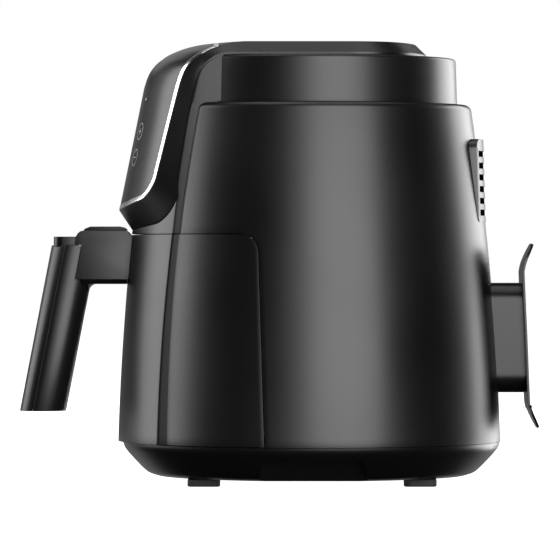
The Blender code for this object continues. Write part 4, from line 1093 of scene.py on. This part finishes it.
def make_drawer_front():
    """The curved front skin, with a lip along its top and room for the handle and the latch."""
    heights = levels(DRAWER_BOTTOM_Z, DRAWER_TOP_Z - DRAWER_CORNER, 20)[:-1] + corner_levels()
    rows = []
    for z in heights:
        half = drawer_section(z)
        rows.append(half + [(-x, y, level) for x, y, level in reversed(half[:-1])])
    top = rows[-1]
    lip = 9.0 * MM
    inner = []
    for x, y, z in top:
        reach = math.hypot(x, y)
        inner.append((x * (reach - lip) / reach, y * (reach - lip) / reach, z))
    rows.append(inner)
    columns = [list(column) for column in zip(*rows)]
    front = place(
        "drawer_skin", sheet_mesh(columns), SATIN_BLACK, "pan", "satin_black", "drawer_front")
    channel = block_tool("handle_channel", (-15, 15), (-160, -90), (172.3, 190))
    slot = block_tool("latch_slot", (-7, 7), (-160, -110), (154.5, 166))
    finish(front, channel, slot, wall=2.2 * MM, bevel=(0.4 * MM, 2, 44.0))


# ---------------------------------------------------------------- pan and basket


def make_tub(body, half, corner, flange, slots=()):
    """A rounded square tub of coated sheet with a soft floor edge and perhaps a flange round its rim."""
    node = f"{body}_tub"
    low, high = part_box(node)
    floor_z, rim_z = low[2], high[2]
    round_edge = 6.0 * MM
    steps = []
    for angle in levels(0.0, math.pi / 2, 7):
        steps.append((round_edge * (1.0 - math.sin(angle)), floor_z + round_edge * (1.0 - math.cos(angle))))
    steps.append((0.0, rim_z - 1.5 * MM))
    if flange:
        under_rim = rim_z - 1.2 * MM
        steps += [(-0.3 * MM, rim_z - 1.25 * MM), (-0.8 * MM, under_rim), (-flange, under_rim)]
    else:
        steps.append((0.0, rim_z))
    bm = bmesh.new()
    rings = []
    for inset, z in steps:
        size = half - inset
        outline = rounded_box(-size, size, -size, size, [corner - inset] * 4, 20)
        rings.append(add_verts(bm, [(x, y, z) for x, y in outline]))
    bm.faces.new(list(reversed(rings[0])))
    for low, high in zip(rings, rings[1:]):
        join_rows(bm, low, high, closed=True)
    tub = place(f"{body}_shell", to_mesh(bm), COATING, body, "coated_sheet", node)
    cutters = [tool("floor_slot", box_mesh(*corners)) for corners in slots]
    finish(tub, *cutters, wall=SHEET)


def make_pan_and_basket():
    """The pan, and the basket with rows of slots in its floor."""
    make_tub("pan", PAN_HALF, PAN_CORNER, 0.0)
    floor_z = BASKET_LOW[2]
    slots = []
    pitch, half_slot, middle_bar = 20 * MM, 3 * MM, 6 * MM
    for column in range(-3, 4):
        reach = 60 * MM if abs(column) == 3 else 72 * MM
        x = column * pitch
        for front, back in ((-reach, -middle_bar), (middle_bar, reach)):
            low = (x - half_slot, front, floor_z - 2 * MM)
            slots.append((low, (x + half_slot, back, floor_z + 4 * MM)))
    flange = BASKET_HIGH[0] - BASKET_HALF
    make_tub("basket", BASKET_HALF, BASKET_CORNER, flange, slots)


# ---------------------------------------------------------------- rear fittings


def make_vent():
    """A pad with upright face that stands out of the tapering body, with a louvred insert."""
    low, high = VENT_LOW[2], VENT_HIGH[2]
    half = VENT_HIGH[0]
    outer_low, outer_high = 126.5 * MM, 124.7 * MM

    def face_radius(z):
        return outer_low + (outer_high - outer_low) * (z - low) / (high - low)

    outline = rounded_box(-half, half, low, high, [9 * MM, 9 * MM, 3 * MM, 3 * MM])
    mesh = prism_mesh(outline, 100 * MM, 140 * MM, "front")
    pad = place("vent_pad", mesh, SATIN_BLACK, "housing", "satin_black", "rear_vent")
    drum = turned_tool("vent_drum", face_radius, low - 5 * MM, high + 5 * MM, 2)

    def inner_radius(z):
        return body_radius(z) - WALL - 0.8 * MM

    core = turned_tool("vent_core", inner_radius, low - 6 * MM, high + 6 * MM, 8)
    boolean(pad, "INTERSECT", drum)
    tools = [core]
    for side in (-1, 1):
        edges = sorted((side * VENT_GROOVE_X, side * (VENT_GROOVE_X + 0.7 * MM)))
        groove = rounded_box(*edges, low + 4 * MM, high - 6 * MM, [0] * 4)
        tools.append(tool("vent_groove", prism_mesh(groove, 110 * MM, 150 * MM, "front")))
    for index in range(VENT_SLOTS):
        z = VENT_SLOT_LOW + index * VENT_SLOT_PITCH
        slot = rounded_box(-VENT_SLOT_X, VENT_SLOT_X, z - 2.2 * MM, z + 2.2 * MM, [0.8 * MM] * 4, 3)
        tools.append(tool("vent_slot", prism_mesh(slot, 90 * MM, 150 * MM, "front")))
    finish(pad, *tools, bevel=(0.5 * MM, 2, 50.0))
    bpy.data.objects.remove(drum)

    # A shineless black sheet behind the slots paints the shade inside the vent.
    columns = []
    reach = math.asin((VENT_SLOT_X + 2 * MM) / outer_high)
    heights = levels(low + 3 * MM, high - 3 * MM, 8)
    for angle in levels(math.pi - reach, math.pi + reach, 40):
        columns.append([lathe(face_radius(z) - 0.6 * MM, angle, z) for z in heights])
    shade_sheet = place("vent_shade_sheet", sheet_mesh(columns), SHADE_BLACK, "housing", "base_black")
    finish(shade_sheet, wall=0.6 * MM)


def plate_half_width(z):
    """Half the width of the cord plate, with rounded corners at both ends."""
    from_end = max(min(z - WRAP_LOW[2], WRAP_HIGH[2] - z, PLATE_CORNER), 0.0)
    return WRAP_HIGH[0] - PLATE_CORNER + math.sqrt(PLATE_CORNER ** 2 - (PLATE_CORNER - from_end) ** 2)


def make_cord_wrap():
    """The bent plate that the cord is wound behind, on its post."""
    line = smooth_line(millimetres(PLATE_LINE), 6)
    thickness = 1.8 * MM
    columns = []
    for share in levels(-1.0, 1.0, 21):
        columns.append([(share * plate_half_width(z), y, z) for y, z in line])
    plate = place(
        "wrap_plate", sheet_mesh(columns), TIDY_BLACK, "housing", "base_black", "cord_wrap_plate")
    finish(plate, wall=thickness, bevel=(0.6 * MM, 3, 50.0))

    outline = rounded_box(POST_LOW[0], POST_HIGH[0], POST_LOW[2], POST_HIGH[2], [14.5 * MM] * 4, 12)
    post = place(
        "wrap_post", prism_mesh(outline, 110 * MM, 170 * MM, "front"), TIDY_BLACK, "housing", "base_black",
        "cord_wrap_post")
    core = turned_tool("post_core", lambda z: body_radius(z) - 1 * MM, 35 * MM, 190 * MM, 10)
    sunk = [(y - thickness * 0.4, z) for y, z in line]
    beyond = [(200 * MM, line[0][1]), *sunk, (200 * MM, line[-1][1])]
    behind = tool("post_behind", prism_mesh(beyond, -60 * MM, 60 * MM, "side"))
    finish(post, core, behind)


# ---------------------------------------------------------------- handle

HANDLE_LEAN = 0.193
GRIP_TOP_Z = GRIP_HIGH[2]
GRIP_BOTTOM_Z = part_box("grip_foot")[0][2]
GRIP_FRONT_Y = -188.3 * MM
GRIP_DEPTH = 33.3 * MM
GRIP_SEAM = 9.8 * MM
BRACKET_SIDE_Z = 147.2  # in millimetres
GRIP_FRONT_CORNER = 15.0 * MM
GRIP_REAR_CORNER = 17.0 * MM
HANDLE_HALF_WIDTH = BRACKET_HIGH[0]


def grip_front_y(z):
    return GRIP_FRONT_Y + HANDLE_LEAN * (z - GRIP_TOP_Z)


def grip_section():
    """The grip's outline as (x, depth from its front face): an oval with flattened sides."""
    half = HANDLE_HALF_WIDTH
    return rounded_box(-half, half, 0.0, GRIP_DEPTH, [GRIP_REAR_CORNER] * 2 + [GRIP_FRONT_CORNER] * 2, 16)


def leaning_prism(outline, low, high):
    """An outline of (x, depth) carried up the leaning grip."""
    bm = bmesh.new()
    rings = []
    for z in (low, high):
        rings.append([bm.verts.new((x, grip_front_y(z) + depth, z)) for x, depth in outline])
    cap_and_join(bm, rings)
    return to_mesh(bm, outward=True)


def make_grip():
    """The grip's two halves with a fine seam between them, on a shineless black core that paints the shade
    inside the seam.
    """
    outline = grip_section()
    half = HANDLE_HALF_WIDTH

    def half_width_at(depth):
        corner = GRIP_FRONT_CORNER
        return half - corner + math.sqrt(corner ** 2 - max(corner - depth, 0.0) ** 2)

    seam_front, seam_back = GRIP_SEAM - 0.25 * MM, GRIP_SEAM + 0.25 * MM
    front_wide, rear_wide = half_width_at(seam_front), half_width_at(seam_back)
    front_part = [(front_wide, seam_front), (-front_wide, seam_front)]
    front_part += [p for p in outline if p[1] < seam_front]
    last_corner = len(outline) * 3 // 4
    rear_part = [p for p in outline[:last_corner] if p[1] > seam_back]
    rear_part += [(-rear_wide, seam_back), (rear_wide, seam_back)]
    rear_part += [p for p in outline[last_corner:] if p[1] > seam_back]
    # The core is a black block with no shine between the halves: painted shade, seen through the seam.
    core_half, core_front, core_back = half * 0.9, seam_front - 1 * MM, seam_back + 1 * MM
    core_part = [
        (core_half, core_front), (-core_half, core_front), (-core_half, core_back), (core_half, core_back)]
    low, high = GRIP_BOTTOM_Z, GRIP_TOP_Z
    mesh = leaning_prism(core_part, low + 3 * MM, high - 2 * MM)
    core = place("grip_shade_core", mesh, SHADE_BLACK, "basket", "base_black")
    finish(core, bevel=(0.2 * MM, 2, 40.0))
    for name, part, nodes in (
        ("grip_outer", front_part, ("grip_front", "grip_foot")),
        ("grip_inner", rear_part, ("grip_rear",)),
    ):
        shell = place(name, leaning_prism(part, low, high), HANDLE_BLACK, "basket", "handle_grey", *nodes)
        finish(shell, bevel=(0.3 * MM, 2, 40.0))


def make_bracket():
    """The block between the grip and the drawer, with a pocket for the release button."""
    outline = millimetres([
        (-127.0, BRACKET_SIDE_Z), (-127.0, 177.0), (-130.8, 179.2), (-132.9, 181.5), (-134.4, 182.4),
        (-164.4, 182.4), (-167.0, 181.9), (-168.9, 180.4), (-170.3, 177.9), (-170.7, 172.0),
        (-165.9, 171.9), (-170.6, BRACKET_SIDE_Z)])
    bracket = place(
        "bracket_block", prism_mesh(outline, -HANDLE_HALF_WIDTH, HANDLE_HALF_WIDTH, "side"),
        HANDLE_BLACK, "basket", "handle_grey", "handle_bracket")
    pocket = block_tool("bracket_pocket", (-9.5, 9.5), (-163, -120), (154.2, 190))
    tab = block_tool("tab_slot", (-13.4, 13.4), (-140, -120), (172.4, 176.0))
    nose = turned_tool("nose_room", lambda z: nose_radius(z) + GAP, 130 * MM, 190 * MM, 8)
    finish(bracket, pocket, tab, nose, bevel=(0.5 * MM, 3, 35.0))


def make_bracket_foot():
    """The narrower underside of the bracket, which runs down into the grip with a hollow fillet."""
    side, under, fillet = BRACKET_SIDE_Z * MM, 143.7 * MM, 5.6 * MM
    chamfer = side - under - 0.1 * MM
    wide = HANDLE_HALF_WIDTH
    narrow = wide - chamfer
    stations = [(-133.9 * MM, under), (-145.0 * MM, under)]
    for angle in levels(0.0, math.pi / 2, 9):
        stations.append((-155.9 * MM - fillet * math.sin(angle), under - fillet + fillet * math.cos(angle)))
    stations.append((-166.0 * MM, under - fillet))
    bm = bmesh.new()
    rings = []
    for y, z in stations:
        inside_grip = min(max((-155.9 * MM - y) / fillet, 0.0), 1.0)
        foot_wide = (narrow - 0.8 * MM) * (1.0 - 0.7 * inside_grip)
        half = [(wide, side + 0.3 * MM), (wide - 0.2 * MM, side), (narrow, side - chamfer), (foot_wide, z)]
        ring = half + [(-x, level) for x, level in reversed(half)]
        rings.append([bm.verts.new((x, y, level)) for x, level in ring])
    cap_and_join(bm, rings)
    foot = place("bracket_foot", to_mesh(bm, outward=True), HANDLE_BLACK, "basket", "handle_grey")
    finish(foot, smooth=25.0)


def make_handle_tops():
    """The sliding cover over the release button, and the plug on top of the grip."""
    front, rear = GUARD_LOW[1] - AXIS_Y, GUARD_HIGH[1] - AXIS_Y
    low, high = GUARD_LOW[2] - 0.2 * MM, GUARD_HIGH[2]
    guard_outline = [
        (front, low), (front + 1.4 * MM, low + 1.3 * MM), (front + 5.0 * MM, high), (rear - 4.6 * MM, high),
        (rear - 1.6 * MM, high - 0.8 * MM), (rear, high - 2.2 * MM), (rear, low)]
    guard = place(
        "button_cover", prism_mesh(guard_outline, GUARD_LOW[0], GUARD_HIGH[0], "side"), GUARD_BLACK,
        "guard", "base_black", "button_guard")
    finish(guard, bevel=(0.6 * MM, 3, 25.0))
    front, rear = CAP_LOW[1] - AXIS_Y, CAP_HIGH[1] - AXIS_Y + 1.5 * MM
    cap_outline = rounded_box(CAP_LOW[0], CAP_HIGH[0], front, rear, [0, 0, 7 * MM, 7 * MM])
    cap = place(
        "grip_plug", prism_mesh(cap_outline, GRIP_TOP_Z - 1 * MM, CAP_HIGH[2]), CAP_BLACK, "basket",
        "base_black", "grip_cap")
    finish(cap, bevel=(0.5 * MM, 3, 40.0))


# ---------------------------------------------------------------- studio

# name, azimuth and elevation in degrees, distance, width and height in metres, radiance
SOFTBOXES = (
    ("key", 20.0, 8.0, 2.0, 1.6, 2.2, 5.4),
    ("key_wing", -9.0, 8.0, 2.1, 0.45, 2.2, 1.2),
    ("front_light", -101.0, 12.0, 2.0, 1.45, 2.0, 3.9),
    ("front_fill", -134.0, 6.0, 2.0, 0.7, 2.0, 0.25),
    ("back_light", 134.0, 4.0, 2.0, 1.3, 1.9, 5.0),
    ("top_light", 0.0, 88.0, 1.8, 1.6, 1.6, 1.6),
    ("brow_light", -166.0, 25.0, 2.2, 1.2, 0.8, 0.55),
    ("backdrop", 180.0, 2.0, 2.6, 3.0, 0.9, 0.22),
    ("floor_glow", 180.0, -20.0, 2.2, 3.2, 1.0, 0.35),
)
CAMERA_LENS = 305.0
CAMERA_SHIFT = -0.041
CAMERA_DISTANCE = 3.444
EYE_SHARE = 0.5157


def softbox(name, azimuth, elevation, distance, width, height, radiance):
    """A soft rectangle of light. Azimuth turns from the camera's side towards the rear of the object."""
    light = bpy.data.lights.new(name, "AREA")
    light.shape = "RECTANGLE"
    light.size = width
    light.size_y = height
    light.energy = radiance * math.pi * width * height
    obj = bpy.data.objects.new(name, light)
    bpy.context.scene.collection.objects.link(obj)
    a, e = math.radians(azimuth), math.radians(elevation)
    aim = Vector((0.0, AXIS_Y, 0.16))
    offset = Vector((math.cos(e) * math.cos(a), math.cos(e) * math.sin(a), math.sin(e))) * distance
    obj.location = aim + offset
    obj.rotation_euler = (-offset).to_track_quat("-Z", "Y").to_euler()
    obj.visible_camera = False
    return obj


def make_studio():
    """A dark room with softboxes and a white background that only the camera sees."""
    world = bpy.data.worlds.new("studio")
    bpy.context.scene.world = world
    world.use_nodes = True
    nodes, links = world.node_tree.nodes, world.node_tree.links
    background = nodes["Background"]
    sight = nodes.new("ShaderNodeLightPath")
    shade = nodes.new("ShaderNodeMix")
    shade.data_type = "RGBA"
    shade.inputs["A"].default_value = (0.009, 0.009, 0.009, 1.0)
    shade.inputs["B"].default_value = (1.0, 1.0, 1.0, 1.0)
    links.new(sight.outputs["Is Camera Ray"], shade.inputs["Factor"])
    links.new(shade.outputs["Result"], background.inputs["Color"])

    for row in SOFTBOXES:
        softbox(*row)
    make_floor()


def make_floor():
    """A plain pale floor that is seen by the camera only."""
    bm = bmesh.new()
    bmesh.ops.create_grid(bm, x_segments=1, y_segments=1, size=12.0)
    floor = bpy.data.objects.new("floor", to_mesh(bm))
    bpy.context.scene.collection.objects.link(floor)
    floor.data.materials.append(floor_paint("floor_paint"))
    floor.visible_glossy = False
    floor.visible_diffuse = False
    floor.visible_shadow = False


def make_camera():
    """A long lens that looks straight at the right-hand side, from half the height of the object."""
    camera = bpy.data.cameras.new("camera")
    camera.sensor_width = 36.0
    camera.lens = CAMERA_LENS
    camera.shift_y = CAMERA_SHIFT
    camera.clip_end = 50.0
    obj = bpy.data.objects.new("camera", camera)
    bpy.context.scene.collection.objects.link(obj)
    middle_y = (CAD_BOX[0][1] + CAD_BOX[1][1]) / 2
    eye_height = (CAD_BOX[0][2] + CAD_BOX[1][2]) * EYE_SHARE
    obj.location = (CAMERA_DISTANCE, middle_y + 0.4 * MM, eye_height)
    obj.rotation_euler = (math.radians(90), 0.0, math.radians(90))
    bpy.context.scene.camera = obj
    bpy.context.scene.view_settings.view_transform = "Standard"


dress_cad_nodes()
make_base()
make_feet()
make_outer_shell()
make_top_tier()
make_neck()
make_head()
make_trim()
make_lens()
make_marks()
make_drawer_front()
make_pan_and_basket()
make_vent()
make_cord_wrap()
make_grip()
make_bracket()
make_bracket_foot()
make_handle_tops()
make_studio()
make_camera()
